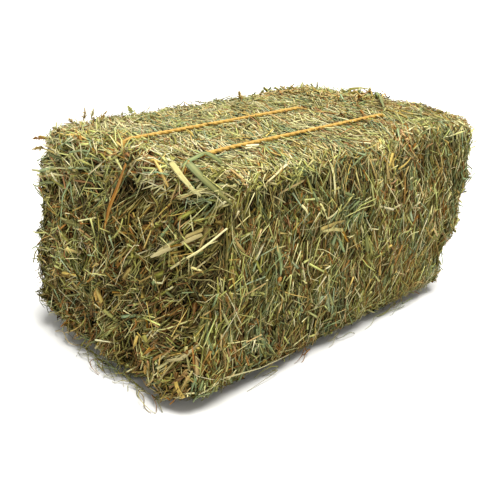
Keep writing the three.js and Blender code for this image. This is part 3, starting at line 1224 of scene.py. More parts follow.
def side_lays(side: Side, corner_lean: float) -> list[Lay]:
    """The long sides: stems stand upright in their flakes and lean over near the front corner.

    Args:
        side: which long side.
        corner_lean: how far stems lean at the front corner, in degrees.

    Returns:
        Its lays, the deepest first.
    """
    # The shades here run lower than the top's: painted shade for the sides, which get less light, and darkest
    # in the deep layer, painted shade for the depth.
    base = Lay(side, 1.0, (0.03, 0.07), (0.001, 0.002), SIDE_MIX, (0.2, 0.7), heading=93.0, spread=14.0,
               stray=0.10, sway=9.0, corner_lean=corner_lean, bend=18.0)
    return [
        replace(base, density=12500, length=(0.040, 0.080), width=(0.0028, 0.0056), mixture=DEEP_MIX,
                shade=(0.0, 0.38), height=(-0.013, -0.007), thinness=1.0),
        replace(base, density=20000, length=(0.022, 0.070), width=(0.0012, 0.0035), shade=(0.08, 0.63),
                height=(-0.008, -0.002)),
        replace(base, density=3600, length=(0.025, 0.065), width=(0.0035, 0.0081), mixture=LEAF_MIX,
                shade=(0.25, 0.84), height=(-0.005, -0.0015), thinness=1.5, twist=50.0),
        replace(base, density=7500, length=(0.020, 0.060), width=(0.0012, 0.0035), shade=(0.46, 0.97),
                height=(-0.004, -0.001), stray=0.18, spread=20.0),
        replace(base, density=3000, length=(0.010, 0.048), width=(0.0019, 0.0058), mixture=PALE_MIX,
                shade=(0.56, 0.93), height=(-0.003, 0.0), stray=0.40, spread=30.0,
                flatness=0.6, thickest=0.002, **STIFF),
        replace(base, density=900, length=(0.040, 0.100), width=(0.0008, 0.0020), mixture=PALE_MIX,
                shade=(0.6, 0.95), height=(-0.002, 0.001), stray=0.4, spread=26.0, stations=5, lift=0.004,
                bend=60.0),
        replace(base, density=5500, length=(0.005, 0.014), width=(0.0012, 0.0039), mixture=CHAFF_MIX,
                shade=(0.30, 1.0), height=(-0.005, -0.001), stray=0.7, stations=2, lift=0.001),
        replace(base, density=2600, length=(0.015, 0.050), width=(0.0012, 0.0035), shade=(0.35, 0.95),
                height=(-0.004, 0.001), stray=0.8, lift=0.005, patch=(0.0, 1.0, 0.0, 0.14)),
        replace(base, density=14000, length=(0.010, 0.040), width=(0.0012, 0.0039), mixture=RUSTY_MIX,
                shade=(0.30, 0.85), height=(-0.005, -0.001), stray=0.3, patch=(0.18, 0.29, 0.50, 0.84)),
        replace(base, density=9000, length=(0.015, 0.050), width=(0.0012, 0.0039), mixture=RUSTY_MIX,
                shade=(0.35, 0.90), height=(-0.005, -0.001), patch=(0.92, 1.0, 0.30, 1.0), bend=60.0),
    ]


def end_lays(side: Side) -> list[Lay]:
    """The two ends: a tangle of short broken stems and leaves with dark gaps.

    Args:
        side: which end.

    Returns:
        Its lays, the deepest first.
    """
    # The shades here run lower than on the near side and the top: painted shade for the ends, which get less
    # light, and darkest in the deep layer, painted shade for the depth.
    base = Lay(side, 1.0, (0.03, 0.07), (0.001, 0.002), END_MIX, (0.2, 0.7), heading=80.0, fan=-130.0,
               spread=24.0, stray=0.20, sway=24.0, tilt=0.005, clump=0.14)
    return [
        replace(base, density=11500, length=(0.025, 0.055), width=(0.0028, 0.0058), mixture=DEEP_MIX,
                shade=(0.0, 0.25), height=(-0.017, -0.010), thinness=1.0),
        replace(base, density=18500, length=(0.014, 0.056), width=(0.0014, 0.0044), shade=(0.0, 0.58),
                height=(-0.012, -0.003), bend=45.0, kink=30.0),
        replace(base, density=3000, length=(0.020, 0.055), width=(0.0035, 0.0090), mixture=LEAF_MIX,
                shade=(0.20, 0.80), height=(-0.006, -0.001), thinness=1.5, twist=60.0, stray=0.4),
        replace(base, density=6800, length=(0.014, 0.056), width=(0.0013, 0.0039), shade=(0.38, 0.92),
                height=(-0.006, -0.001), stray=0.30, stations=4, bend=45.0, kink=24.0),
        replace(base, density=2600, length=(0.010, 0.046), width=(0.0019, 0.0060), mixture=PALE_MIX,
                shade=(0.55, 0.95), height=(-0.005, 0.0), stray=0.55, flatness=0.55,
                thickest=0.0022, **STIFF),
        replace(base, density=1300, length=(0.030, 0.090), width=(0.0008, 0.0021), mixture=PALE_MIX,
                shade=(0.5, 0.9), height=(-0.003, 0.001), stray=0.5, stations=5, lift=0.006, bend=90.0,
                kink=30.0),
        replace(base, density=7000, length=(0.005, 0.014), width=(0.0012, 0.0042), mixture=CHAFF_MIX,
                shade=(0.15, 0.9), height=(-0.009, -0.002), stray=0.9, stations=2, lift=0.001),
        replace(base, density=7500, length=(0.018, 0.042), width=(0.0039, 0.0081), mixture=STUB_MIX,
                shade=(0.50, 0.90), height=(-0.003, 0.001), heading=115.0, fan=0.0, spread=35.0,
                flatness=0.45, thickest=0.0026, patch=(0.0, 0.28, 0.02, 0.30), **STIFF),
    ]


def top_lays() -> list[Lay]:
    """The top: fine pale stems pressed flat, that lie across the bale. Their shades run higher than the
    sides', partly as painted light from above.

    Returns:
        Its lays, the deepest first.
    """
    base = Lay(Side.TOP, 1.0, (0.03, 0.07), (0.001, 0.002), TOP_MIX, (0.5, 0.85), heading=77.0, spread=12.0,
               stray=0.08, sway=8.0, tilt=0.0015, lift=0.0015, clump=0.13, kink=8.0)
    rusty = replace(base, length=(0.010, 0.040), width=(0.0012, 0.0032), mixture=RUSTY_MIX,
                    shade=(0.45, 0.9), height=(-0.004, -0.002))
    return [
        # The deepest layer, darker: painted shade for the depth.
        replace(base, density=12000, length=(0.040, 0.080), width=(0.0028, 0.0049), mixture=SIDE_MIX,
                shade=(0.30, 0.75), height=(-0.010, -0.006), thinness=1.0),
        replace(base, density=18000, length=(0.030, 0.085), width=(0.0015, 0.0039), shade=(0.66, 1.0),
                height=(-0.007, -0.003)),
        replace(base, density=1800, length=(0.020, 0.060), width=(0.0035, 0.0067), mixture=LEAF_MIX,
                shade=(0.55, 1.0), height=(-0.005, -0.003), thinness=1.5, twist=30.0, stray=0.15),
        replace(base, density=8500, length=(0.030, 0.080), width=(0.0015, 0.0039), shade=(0.80, 1.0),
                height=(-0.004, -0.002), stray=0.14, spread=16.0, thinness=1.5),
        replace(base, density=2600, length=(0.010, 0.040), width=(0.0014, 0.0042), mixture=PALE_MIX,
                shade=(0.85, 1.0), height=(-0.003, -0.001), stray=0.35, spread=26.0,
                flatness=0.6, thickest=0.002, **STIFF),
        replace(base, density=900, length=(0.040, 0.100), width=(0.0008, 0.0019), mixture=PALE_MIX,
                shade=(0.75, 1.0), height=(-0.002, 0.0), stray=0.35, spread=24.0, stations=5, lift=0.003,
                bend=60.0),
        replace(base, density=7500, length=(0.005, 0.014), width=(0.0012, 0.0035), mixture=CHAFF_MIX,
                shade=(0.4, 1.0), height=(-0.004, -0.002), stray=0.4, stations=2, lift=0.001),
        replace(rusty, density=9000, patch=(0.50, 0.74, 0.0, 0.16)),
        replace(rusty, density=7000, patch=(0.0, 0.10, 0.35, 0.95)),
        replace(rusty, density=3000, patch=(0.72, 0.90, 0.35, 0.80)),
        replace(rusty, density=6000, length=(0.015, 0.050), width=(0.0014, 0.0037), shade=(0.60, 1.0),
                height=(-0.004, -0.001), patch=(0.86, 1.0, 0.0, 0.45)),
    ]


def edge_lays() -> list[Lay]:
    """Loose blades along the far edge of the top and over the front, and the pale fringe of the top.

    Returns:
        The lays of wisps and fringes.
    """
    fringe = Lay(Side.FRONT, 1.0, (0.035, 0.085), (0.0012, 0.0037), TOP_MIX, (0.5, 0.95), heading=8.0,
                 spread=16.0, stray=0.1, height=(-0.005, 0.0), lift=0.003, bend=25.0, sunk=0.15)
    wisp = Lay(Side.TOP, 1.0, (0.035, 0.085), (0.0012, 0.0035), LOOSE_MIX, (0.45, 0.95), heading=60.0,
               spread=50.0, stray=0.4, height=(-0.001, 0.002), lift=0.009, bend=110.0, kink=35.0,
               twist=70.0, stations=6)
    return [
        replace(wisp, density=3500, patch=(0.42, 0.60, 0.91, 1.0), lift=0.006),
        replace(wisp, density=3500, patch=(0.60, 0.77, 0.91, 1.0), lift=0.003),
        replace(wisp, density=12000, patch=(0.80, 1.0, 0.42, 1.0), width=(0.0021, 0.0053), thinness=1.2,
                shade=(0.60, 1.0), stray=0.7, lift=0.006, height=(-0.002, 0.001), bend=60.0, kink=20.0),
        replace(wisp, density=3000, patch=(0.0, 0.42, 0.93, 1.0)),
        replace(wisp, density=3000, patch=(0.78, 1.0, 0.1, 0.5), lift=0.004, height=(-0.002, 0.0)),
        replace(wisp, density=4000, patch=(0.0, 0.06, 0.3, 1.0), lift=0.005),
        replace(wisp, side=Side.NEAR, density=2200, patch=(0.93, 1.0, 0.1, 1.0), heading=90.0, lift=0.007),
        replace(wisp, side=Side.FRONT, density=6500, patch=(0.90, 1.0, 0.1, 0.95), heading=20.0, lift=0.009),
        replace(fringe, density=8000, patch=(0.50, 1.0, 0.78, 1.0), shade=(0.60, 1.0),
                width=(0.0014, 0.0044)),
        replace(fringe, density=22000, patch=(0.04, 0.50, 0.87, 1.0), heading=150.0, spread=30.0,
                length=(0.02, 0.05), width=(0.0014, 0.0044), shade=(0.62, 0.90)),
        replace(fringe, side=Side.NEAR, density=4200, patch=(0.04, 1.0, 0.91, 1.0), heading=62.0, spread=34.0,
                length=(0.012, 0.040), width=(0.0016, 0.0049), mixture=EAVE_MIX, shade=(0.46, 0.82), bend=5.0,
                lift=0.003, loosest=0.008, section=Section.STEM, flatness=0.5, thickest=0.002),
        replace(wisp, side=Side.FRONT, density=1600, patch=(0.0, 0.9, 0.0, 0.12), heading=10.0, lift=0.006),
    ]


def under_lays() -> list[Lay]:
    """The underside: the same hay pressed flat on the floor.

    Returns:
        Its lays, the deepest first.
    """
    return [
        # The deeper layer is darker: painted shade for the depth.
        Lay(Side.UNDER, 8000, (0.040, 0.080), (0.0032, 0.0052), DEEP_MIX, (0.15, 0.45),
            height=(-0.009, -0.004)),
        Lay(Side.UNDER, 7500, (0.030, 0.070), (0.0016, 0.0030), SIDE_MIX, (0.3, 0.7),
            height=(-0.004, -0.001), lift=0.0005),
    ]


# ------------------------------------------------------------
# Stems, leaves and seed heads laid one by one


Spot = tuple[Side, float, float]


def front(y: float, z: float) -> Spot:
    """A spot on the front end."""
    return Side.FRONT, y, z


def near(x: float, z: float) -> Spot:
    """A spot on the near side."""
    return Side.NEAR, x, z


def top(x: float, y: float) -> Spot:
    """A spot on the top."""
    return Side.TOP, x, y


def on_block(form: BaleForm, spot: Spot) -> Array:
    """The point of the plain block at a spot.

    Args:
        form: the plain block and how it settles.
        spot: a side and its two distances.

    Returns:
        Its x, y and z.
    """
    side, *own = spot
    axis, far, first, second = side.value
    point = np.zeros(3)
    point[axis] = form.sizes[axis] if far else 0.0
    point[[first, second]] = own
    return point


@dataclass(frozen=True)
class Stem:
    """A stem or leaf that stands out from the rest, with the spots it runs through.

    Lift is its height above the surface at even steps from its first spot to its last.
    """

    spots: tuple[Spot, ...]
    width: float
    tint: Tint
    shade: float = 0.7
    lift: tuple[float, ...] = (0.001, 0.001)
    arch: float = 0.002
    tips: tuple[float, float] = (0.85, 0.6)
    roll: tuple[float, float] = (0.0, 0.0)
    flatness: float = 0.20
    section: Section = Section.GUTTER
    stations: int = 14

    def strands(self, bale: HayBale, rng: Generator) -> Strands:
        """The one strand, straight between its spots, raised by lift and by arch 4 t (1 - t).

        It also rises and sinks with the hay below it, but its stiffness takes part of that out.

        Args:
            bale: gives the form, the fields and the finish.
            rng: source of every random draw.

        Returns:
            The strand, as a group of one.
        """
        form = bale.form
        plain = np.array([on_block(form, spot) for spot in self.spots])
        lift = np.interp(np.linspace(0, 1, len(plain)), np.linspace(0, 1, len(self.lift)), self.lift)
        placed, outward = form.snap(plain, lift)
        gone = np.concatenate([[0], np.cumsum(np.linalg.norm(np.diff(placed, axis=0), axis=1))])
        t = np.linspace(0, 1, self.stations)
        path, facing = (np.stack([np.interp(t * gone[-1], gone, values[:, k]) for k in range(3)], -1)
                        for values in (placed, outward))
        facing = unit(facing)
        ground = bale.mounds(path) - bale.sag(path)
        ground = ground + bale.stiffness * (ground.mean() - ground)
        path = path + facing * (ground + self.arch * 4 * t * (1 - t))[:, None]
        taper = np.interp(t, [0, 0.15, 0.7, 1], [self.tips[0], 1, 0.5 + 0.5 * self.tips[1], self.tips[1]])
        half = 0.5 * self.width * taper[:, None] * np.array([1.0, self.flatness])
        roll = np.radians(np.linspace(*self.roll, self.stations))
        low, high = bale.finish.strip(rng, np.array([self.tint]), np.array([self.shade]), 0.2)
        return Strands(path[None], facing[None], half[None], roll[None], self.section, low, high)


STEMS = (
    Stem((front(0.112, 0.331), front(0.080, 0.316), front(0.046, 0.303)), 0.0072, Tint.STRAW, 0.72,
         lift=(0.007, 0.008), tips=(0.9, 0.6), roll=(-15, 20)),
    Stem((front(0.056, 0.310), front(0.025, 0.313)), 0.0040, Tint.YELLOW_GREEN, 0.80),
    Stem((front(0.090, 0.329), top(0.011, 0.087), top(0.037, 0.087), top(0.024, 0.049)), 0.0088,
         Tint.GREY_GREEN, 0.50, lift=(0.008, 0.006), tips=(0.7, 0.5), roll=(0, 25)),
    Stem((front(0.080, 0.333), front(0.044, 0.318), front(0.008, 0.300)), 0.0090, Tint.GREY_GREEN, 0.40,
         lift=(0.009, 0.009), tips=(1.0, 0.3), roll=(-20, 10)),
    Stem((front(0.112, 0.208), front(0.090, 0.221), front(0.062, 0.238), front(0.036, 0.256)), 0.0056,
         Tint.STRAW, 0.58, lift=(0.004, 0.007), tips=(0.5, 1.0), roll=(12, 8), flatness=0.15),
    Stem((front(0.104, 0.217), front(0.078, 0.234), front(0.050, 0.253), front(0.036, 0.262)), 0.0056,
         Tint.STRAW, 0.46, lift=(0.003, 0.007), tips=(0.4, 1.0), roll=(-20, -25), flatness=0.15),
    Stem((front(0.098, 0.224), front(0.070, 0.246)), 0.0040, Tint.GREY_GREEN, 0.62, roll=(-20, 20)),
    Stem((front(0.072, 0.203), front(0.036, 0.234), front(0.006, 0.266)), 0.0036, Tint.STRAW, 0.66,
         lift=(0.010, 0.006), flatness=0.6, section=Section.ROUND),
    Stem((front(0.323, 0.276), front(0.211, 0.289)), 0.0016, Tint.TAN, 0.70, section=Section.STEM),
    Stem((front(0.028, 0.290), near(0.010, 0.297)), 0.0032, Tint.STRAW, 0.76, section=Section.ROUND),
    Stem((front(0.183, 0.312), front(0.195, 0.272), front(0.214, 0.222)), 0.0098, Tint.BROWN, 0.74,
         lift=(0.014, 0.007), tips=(1.0, 0.3), roll=(20, -25)),
    Stem((front(0.087, 0.291), front(0.143, 0.224)), 0.0022, Tint.TAN, 0.66, lift=(0.003, 0.001)),
    Stem((near(0.163, 0.302), near(0.130, 0.299), near(0.098, 0.291)), 0.0040, Tint.TAN, 0.72),
    Stem((near(0.206, 0.323), near(0.210, 0.300), near(0.218, 0.271)), 0.0048, Tint.STRAW, 0.72,
         tips=(0.9, 0.8)),
    Stem((top(0.119, 0.014), near(0.064, 0.321)), 0.0034, Tint.STRAW, 0.76, section=Section.ROUND),
    Stem((near(0.146, 0.271), near(0.163, 0.254)), 0.0038, Tint.STRAW, 0.76, section=Section.ROUND),
    Stem((near(0.181, 0.268), near(0.203, 0.240)), 0.0034, Tint.STRAW, 0.74, section=Section.ROUND),
    Stem((near(0.203, 0.240), near(0.228, 0.249)), 0.0036, Tint.STRAW, 0.70, section=Section.ROUND),
    Stem((near(0.196, 0.226), near(0.222, 0.229), near(0.250, 0.226)), 0.0056, Tint.TAN, 0.62,
         tips=(0.9, 1.0), roll=(-10, 30)),
    Stem((near(0.200, 0.221), near(0.226, 0.219), near(0.253, 0.210)), 0.0052, Tint.STRAW, 0.54,
         tips=(0.8, 1.0), roll=(10, -20)),
    Stem((near(0.640, 0.220), near(0.611, 0.168)), 0.0034, Tint.TAN, 0.62, lift=(0.016, 0.001)),
    Stem((front(0.062, 0.070), front(0.029, 0.086), front(0.004, 0.112)), 0.0056, Tint.STRAW, 0.62,
         lift=(0.001, 0.005), tips=(0.4, 0.9), roll=(0, 30)),
    Stem((front(0.028, 0.052), front(0.008, 0.026)), 0.0060, Tint.TAN, 0.66, tips=(1.0, 0.9), flatness=0.5),
    Stem((front(0.051, 0.081), front(0.032, 0.052)), 0.0062, Tint.TAN, 0.56, tips=(1.0, 0.9), flatness=0.5),
    Stem((front(0.040, 0.036), front(0.016, 0.066)), 0.0056, Tint.RUST, 0.62, tips=(1.0, 0.9), flatness=0.5),
    Stem((front(0.078, 0.058), front(0.050, 0.092)), 0.0038, Tint.STRAW, 0.70),
    Stem((front(0.020, 0.030), front(0.006, 0.070)), 0.0042, Tint.STRAW, 0.64),
    Stem((near(0.053, 0.043), near(0.120, 0.030), near(0.185, 0.027)), 0.0028, Tint.STRAW, 0.76,
         lift=(0.002, 0.005)),
    Stem((near(0.098, 0.226), near(0.112, 0.200), near(0.120, 0.177)), 0.0062, Tint.GREY_GREEN, 0.60),
    Stem((near(0.288, 0.294), near(0.330, 0.245)), 0.0020, Tint.YELLOW_GREEN, 0.80, section=Section.STEM),
    Stem((near(0.249, 0.232), near(0.285, 0.239), near(0.317, 0.238)), 0.0018, Tint.YELLOW_GREEN, 0.80,
         lift=(0.002, 0.005), section=Section.STEM),
    Stem((near(0.383, 0.281), near(0.416, 0.295)), 0.0040, Tint.TAN, 0.70),
    Stem((near(0.345, 0.268), near(0.400, 0.210)), 0.0022, Tint.STRAW, 0.72, section=Section.STEM),
    Stem((front(0.335, 0.262), front(0.349, 0.241), front(0.346, 0.196), front(0.338, 0.159)), 0.0042,
         Tint.GREY_GREEN, 0.78, lift=(0.003, 0.002)),
    Stem((front(0.335, 0.262), front(0.312, 0.236), front(0.300, 0.215)), 0.0034, Tint.GREY_GREEN, 0.72,
         lift=(0.003, 0.002)),
    Stem((front(0.396, 0.268), front(0.446, 0.262)), 0.0042, Tint.YELLOW_GREEN, 0.74, lift=(0.002, 0.020)),
    Stem((front(0.410, 0.226), front(0.446, 0.246)), 0.0036, Tint.GREY_GREEN, 0.72, lift=(0.001, 0.018)),
    Stem((front(0.404, 0.296), front(0.444, 0.298)), 0.0034, Tint.STRAW, 0.66, lift=(0.002, 0.016)),
    Stem((front(0.396, 0.118), front(0.446, 0.132)), 0.0036, Tint.TAN, 0.66, lift=(0.001, 0.018)),
    Stem((front(0.402, 0.170), front(0.446, 0.158)), 0.0026, Tint.YELLOW_GREEN, 0.72, lift=(0.001, 0.016)),
    Stem((top(0.560, 0.420), top(0.520, 0.434), top(0.500, 0.440)), 0.0050, Tint.OLIVE, 0.86,
         lift=(0.002, 0.014), arch=0.003, tips=(0.9, 0.3)),
    Stem((top(0.574, 0.408), top(0.556, 0.436)), 0.0044, Tint.GREY_GREEN, 0.80, lift=(0.001, 0.018)),
    Stem((top(0.570, 0.256), top(0.596, 0.272), top(0.612, 0.261), top(0.618, 0.243), top(0.618, 0.236)),
         0.0064, Tint.OLIVE, 0.62, lift=(0.006, 0.011, 0.017, 0.019, 0.014), arch=0.0, tips=(0.8, 0.4),
         roll=(60, 45), flatness=0.12),
    Stem((top(0.606, 0.208), top(0.612, 0.202), top(0.616, 0.192), top(0.616, 0.186)), 0.0030,
         Tint.BROWN, 0.62, lift=(0.004, 0.015, 0.0205, 0.0195), arch=0.0),
    Stem((top(0.610, 0.214), top(0.606, 0.196), top(0.596, 0.184)), 0.0026, Tint.BROWN, 0.60,
         lift=(0.017, 0.008, 0.004), arch=0.0),
    Stem((top(0.616, 0.240), top(0.616, 0.226), top(0.610, 0.214)), 0.0012, Tint.TAN, 0.70,
         lift=(0.0195, 0.0190, 0.017), arch=0.0),
    Stem((top(0.612, 0.178), top(0.612, 0.176)), 0.0016, Tint.OLIVE, 0.70, lift=(-0.002, 0.019), arch=0.0),
    Stem((top(0.604, 0.214), top(0.566, 0.176), top(0.520, 0.134)), 0.0080, Tint.GREY_GREEN, 0.60,
         lift=(0.009, 0.006, 0.002), arch=0.002, tips=(0.6, 0.5), roll=(25, -25)),
    Stem((top(0.618, 0.214), top(0.596, 0.190), top(0.575, 0.184)), 0.0066, Tint.TAN, 0.80,
         lift=(0.010, 0.006, 0.003), arch=0.002, tips=(0.8, 0.5), roll=(-20, 25)),
    Stem((top(0.624, 0.440), top(0.606, 0.392)), 0.0014, Tint.GREY_GREEN, 0.60, lift=(0.0175, 0.003),
         arch=0.0),
)


@dataclass(frozen=True)
class Bud:
    """A small dry flower bud, round and a little flattened."""

    spot: Spot
    length: float
    width: float
    height: float = 0.003
    flatness: float = 0.7
    tint: Tint = Tint.RUST
    shade: float = 0.52
    stations: int = 9

    def strands(self, bale: HayBale, rng: Generator) -> Strands:
        """One short fat strand whose width follows a half circle.

        Args:
            bale: gives the form, the fields and the finish.
            rng: source of every random draw.

        Returns:
            The strand, as a group of one.
        """
        count = self.stations
        plain = np.repeat(on_block(bale.form, self.spot)[None], count, 0)
        t = np.linspace(-1, 1, count)
        plain[:, 2] += 0.5 * self.length * t
        path, outward = bale.form.snap(plain, np.full(count, self.height))
        blunt = 0.02
        round_off = np.sqrt(np.maximum(1 - t * t, blunt))
        half = 0.5 * self.width * round_off[:, None] * np.array([1.0, self.flatness])
        low, high = bale.finish.strip(rng, np.array([self.tint]), np.array([self.shade]), 0.2)
        return Strands(path[None], outward[None], half[None], np.zeros((1, count)), Section.ROUND, low, high)


BUDS = (Bud(near(0.117, 0.172), 0.0085, 0.0075),)


@dataclass(frozen=True)
class SeedHead:
    """A seed head that stands out of the hay: a bent stalk with small grains all round it."""

    spot: Spot
    way: tuple[float, float, float]
    length: float = 0.032
    grains: int = 90
    grain: float = 0.0042
    tint: Tint = Tint.TAN
    root_depth: float = 0.004
    curl: float = 0.22
    stalk: float = 0.0004
    bare: float = 0.30
    splay: float = 0.8
    grain_half_widths: tuple[float, float, float] = (0.0003, 0.0008, 0.0002)

    def strands(self, bale: HayBale, rng: Generator) -> list[Strands]:
        """The stalk and its grains, each a short blade that leans out and towards the tip.

        Args:
            bale: gives the form, the fields and the finish.
            rng: source of every random draw.

        Returns:
            The stalk's group and the grains' group.
        """
        root, outward = bale.form.snap(on_block(bale.form, self.spot)[None], np.array([-self.root_depth]))
        t = np.linspace(0, 1, 7)[:, None]
        ahead = unit(np.array(self.way))
        side = unit(np.cross(ahead, [0.31, 0.52, 0.79]))
        stalk = root + self.length * (ahead * t + self.curl * side * t * t)
        across = np.broadcast_to(side, stalk.shape)
        half = np.full((1, 7, 2), self.stalk)
        low, high = bale.finish.strip(rng, np.array([self.tint]), np.array([0.8]))
        made = [Strands(stalk[None], across[None], half, np.zeros((1, 7)), Section.STEM, low, high)]
        place = self.bare + (1 - self.bare) * rng.random(self.grains)
        foot = np.stack([np.interp(place, t[:, 0], stalk[:, k]) for k in range(3)], -1)
        lean = unit(ahead + self.splay * rng.normal(size=(self.grains, 3)))
        reach = self.grain * rng.uniform(0.6, 1.3, (self.grains, 1)) * (1.25 - place[:, None])
        path = np.stack([foot, foot + lean * reach, foot + lean * reach * 1.8], 1)
        facing = np.repeat(unit(rng.normal(size=(self.grains, 3)))[:, None], 3, 1)
        half = np.broadcast_to(np.array(self.grain_half_widths)[None, :, None], (self.grains, 3, 2))
        tint = np.full(self.grains, self.tint)
        low, high = bale.finish.strip(rng, tint, rng.uniform(0.55, 1.0, self.grains))
        made.append(Strands(path, facing, half, np.zeros((self.grains, 3)), Section.STEM, low, high))
        return made


SEED_HEADS = (
    SeedHead(top(0.064, 0.426), (0.22, -0.16, 1.0), 0.026, grains=60),
    SeedHead(top(0.071, 0.414), (0.34, -0.24, 1.0), 0.024, grains=50, tint=Tint.STRAW),
    SeedHead(top(0.077, 0.402), (0.75, -0.50, 0.8), 0.024, grains=60),
    SeedHead(top(0.046, 0.424), (-0.30, 0.30, 0.9), 0.014, grains=40),
    SeedHead(front(0.428, 0.318), (-0.75, 0.55, 0.15), 0.028, tint=Tint.BROWN),
    SeedHead(front(0.436, 0.300), (-0.8, 0.50, 0.0), 0.024),
    SeedHead(top(0.169, 0.430), (0.0, 0.4, 0.9), 0.022, tint=Tint.YELLOW_GREEN),
    SeedHead(top(0.392, 0.382), (0.2, 0.2, 0.9), 0.020),
)


@dataclass(frozen=True)
class FootWisps:
    """Thin curly strands that creep out from under one side onto the floor."""

    side: Side
    count: int
    span: tuple[float, float]
    reach: float = 0.030
    length: tuple[float, float] = (0.05, 0.13)
    width: tuple[float, float] = (0.0010, 0.0026)
    stations: int = 14
    tucked: float = 0.006
    lowest: float = 0.0016
    waver: float = 30.0
    turning: float = 120.0
    flatness: float = 0.6

    def strands(self, bale: HayBale, rng: Generator) -> Strands:
        """Curls over the floor: the heading turns steadily and wavers.

        The way out of each is scaled so that its farthest point keeps within its own share of reach,
        and no strand leaves the bale's own floor.

        Args:
            bale: gives the form, the fields and the finish.
            rng: source of every random draw.

        Returns:
            The strands, in block space.
        """
        form = bale.form
        axis, far, *_ = self.side.value
        along = 1 - axis
        t = np.linspace(0, 1, self.stations - 1)
        start = rng.normal(0, 40, (self.count, 1))
        turn = rng.normal(0, self.turning, (self.count, 1)) * t
        waver = self.waver * np.sin(t * 9 + rng.uniform(0, 6, (self.count, 1)))
        heading = np.radians(start + (turn + waver))
        step = rng.uniform(*self.length, (self.count, 1)) / (self.stations - 1)
        ahead = np.concatenate([np.zeros((self.count, 1)), np.cumsum(step * np.cos(heading), 1)], 1)
        aside = np.concatenate([np.zeros((self.count, 1)), np.cumsum(step * np.sin(heading), 1)], 1)
        farthest = np.abs(ahead).max(1, keepdims=True)
        out = ahead * np.minimum(1, self.reach * rng.uniform(0.45, 1.0, (self.count, 1)) / farthest)
        path = np.zeros((self.count, self.stations, 3))
        path[..., axis] = form.sizes[axis] + out - self.tucked if far else self.tucked - out
        path[..., along] = form.sizes[along] * rng.uniform(*self.span, (self.count, 1)) + aside
        arch = rng.uniform(0.002, 0.018, (self.count, 1))
        path[..., 2] = self.lowest + arch * np.sin(np.pi * np.linspace(0, 1, self.stations)) ** 2
        thinning = np.linspace(1, 0.5, self.stations)[None, :, None]
        width = rng.uniform(*self.width, (self.count, 1, 1)) * thinning
        half = 0.5 * width * np.array([1.0, self.flatness])
        up = np.broadcast_to(np.array([0.0, 0.0, 1.0]), path.shape)
        mixed = bale.choose(rng, path[:, 0], LOOSE_MIX)
        low, high = bale.finish.strip(rng, mixed, rng.uniform(0.3, 0.9, self.count))
        return Strands(path, up, half, np.zeros((self.count, 1)), Section.STEM, low, high)


FOOT_WISPS = (
    FootWisps(Side.FRONT, 34, (0.14, 0.80)),
    FootWisps(Side.NEAR, 12, (0.12, 0.88), reach=0.018),
    FootWisps(Side.FAR, 10, (0.15, 0.85), reach=0.016),
    FootWisps(Side.BACK, 8, (0.12, 0.88), reach=0.018),
)


def laid_singly(bale: HayBale) -> list[Strands]:
    """Every stem, bud and seed head that is placed one by one, and the wisps at the foot.

    Args:
        bale: gives the form, the fields and the finish.

    Returns:
        The strands, one group for each.
    """
    rng = np.random.default_rng(SEED + 9)
    made = [stem.strands(bale, rng) for stem in STEMS]
    made += [bud.strands(bale, rng) for bud in BUDS]
    for head in SEED_HEADS:
        made += head.strands(bale, rng)
    made += [wisps.strands(bale, rng) for wisps in FOOT_WISPS]
    return made


# ------------------------------------------------------------
# Twine


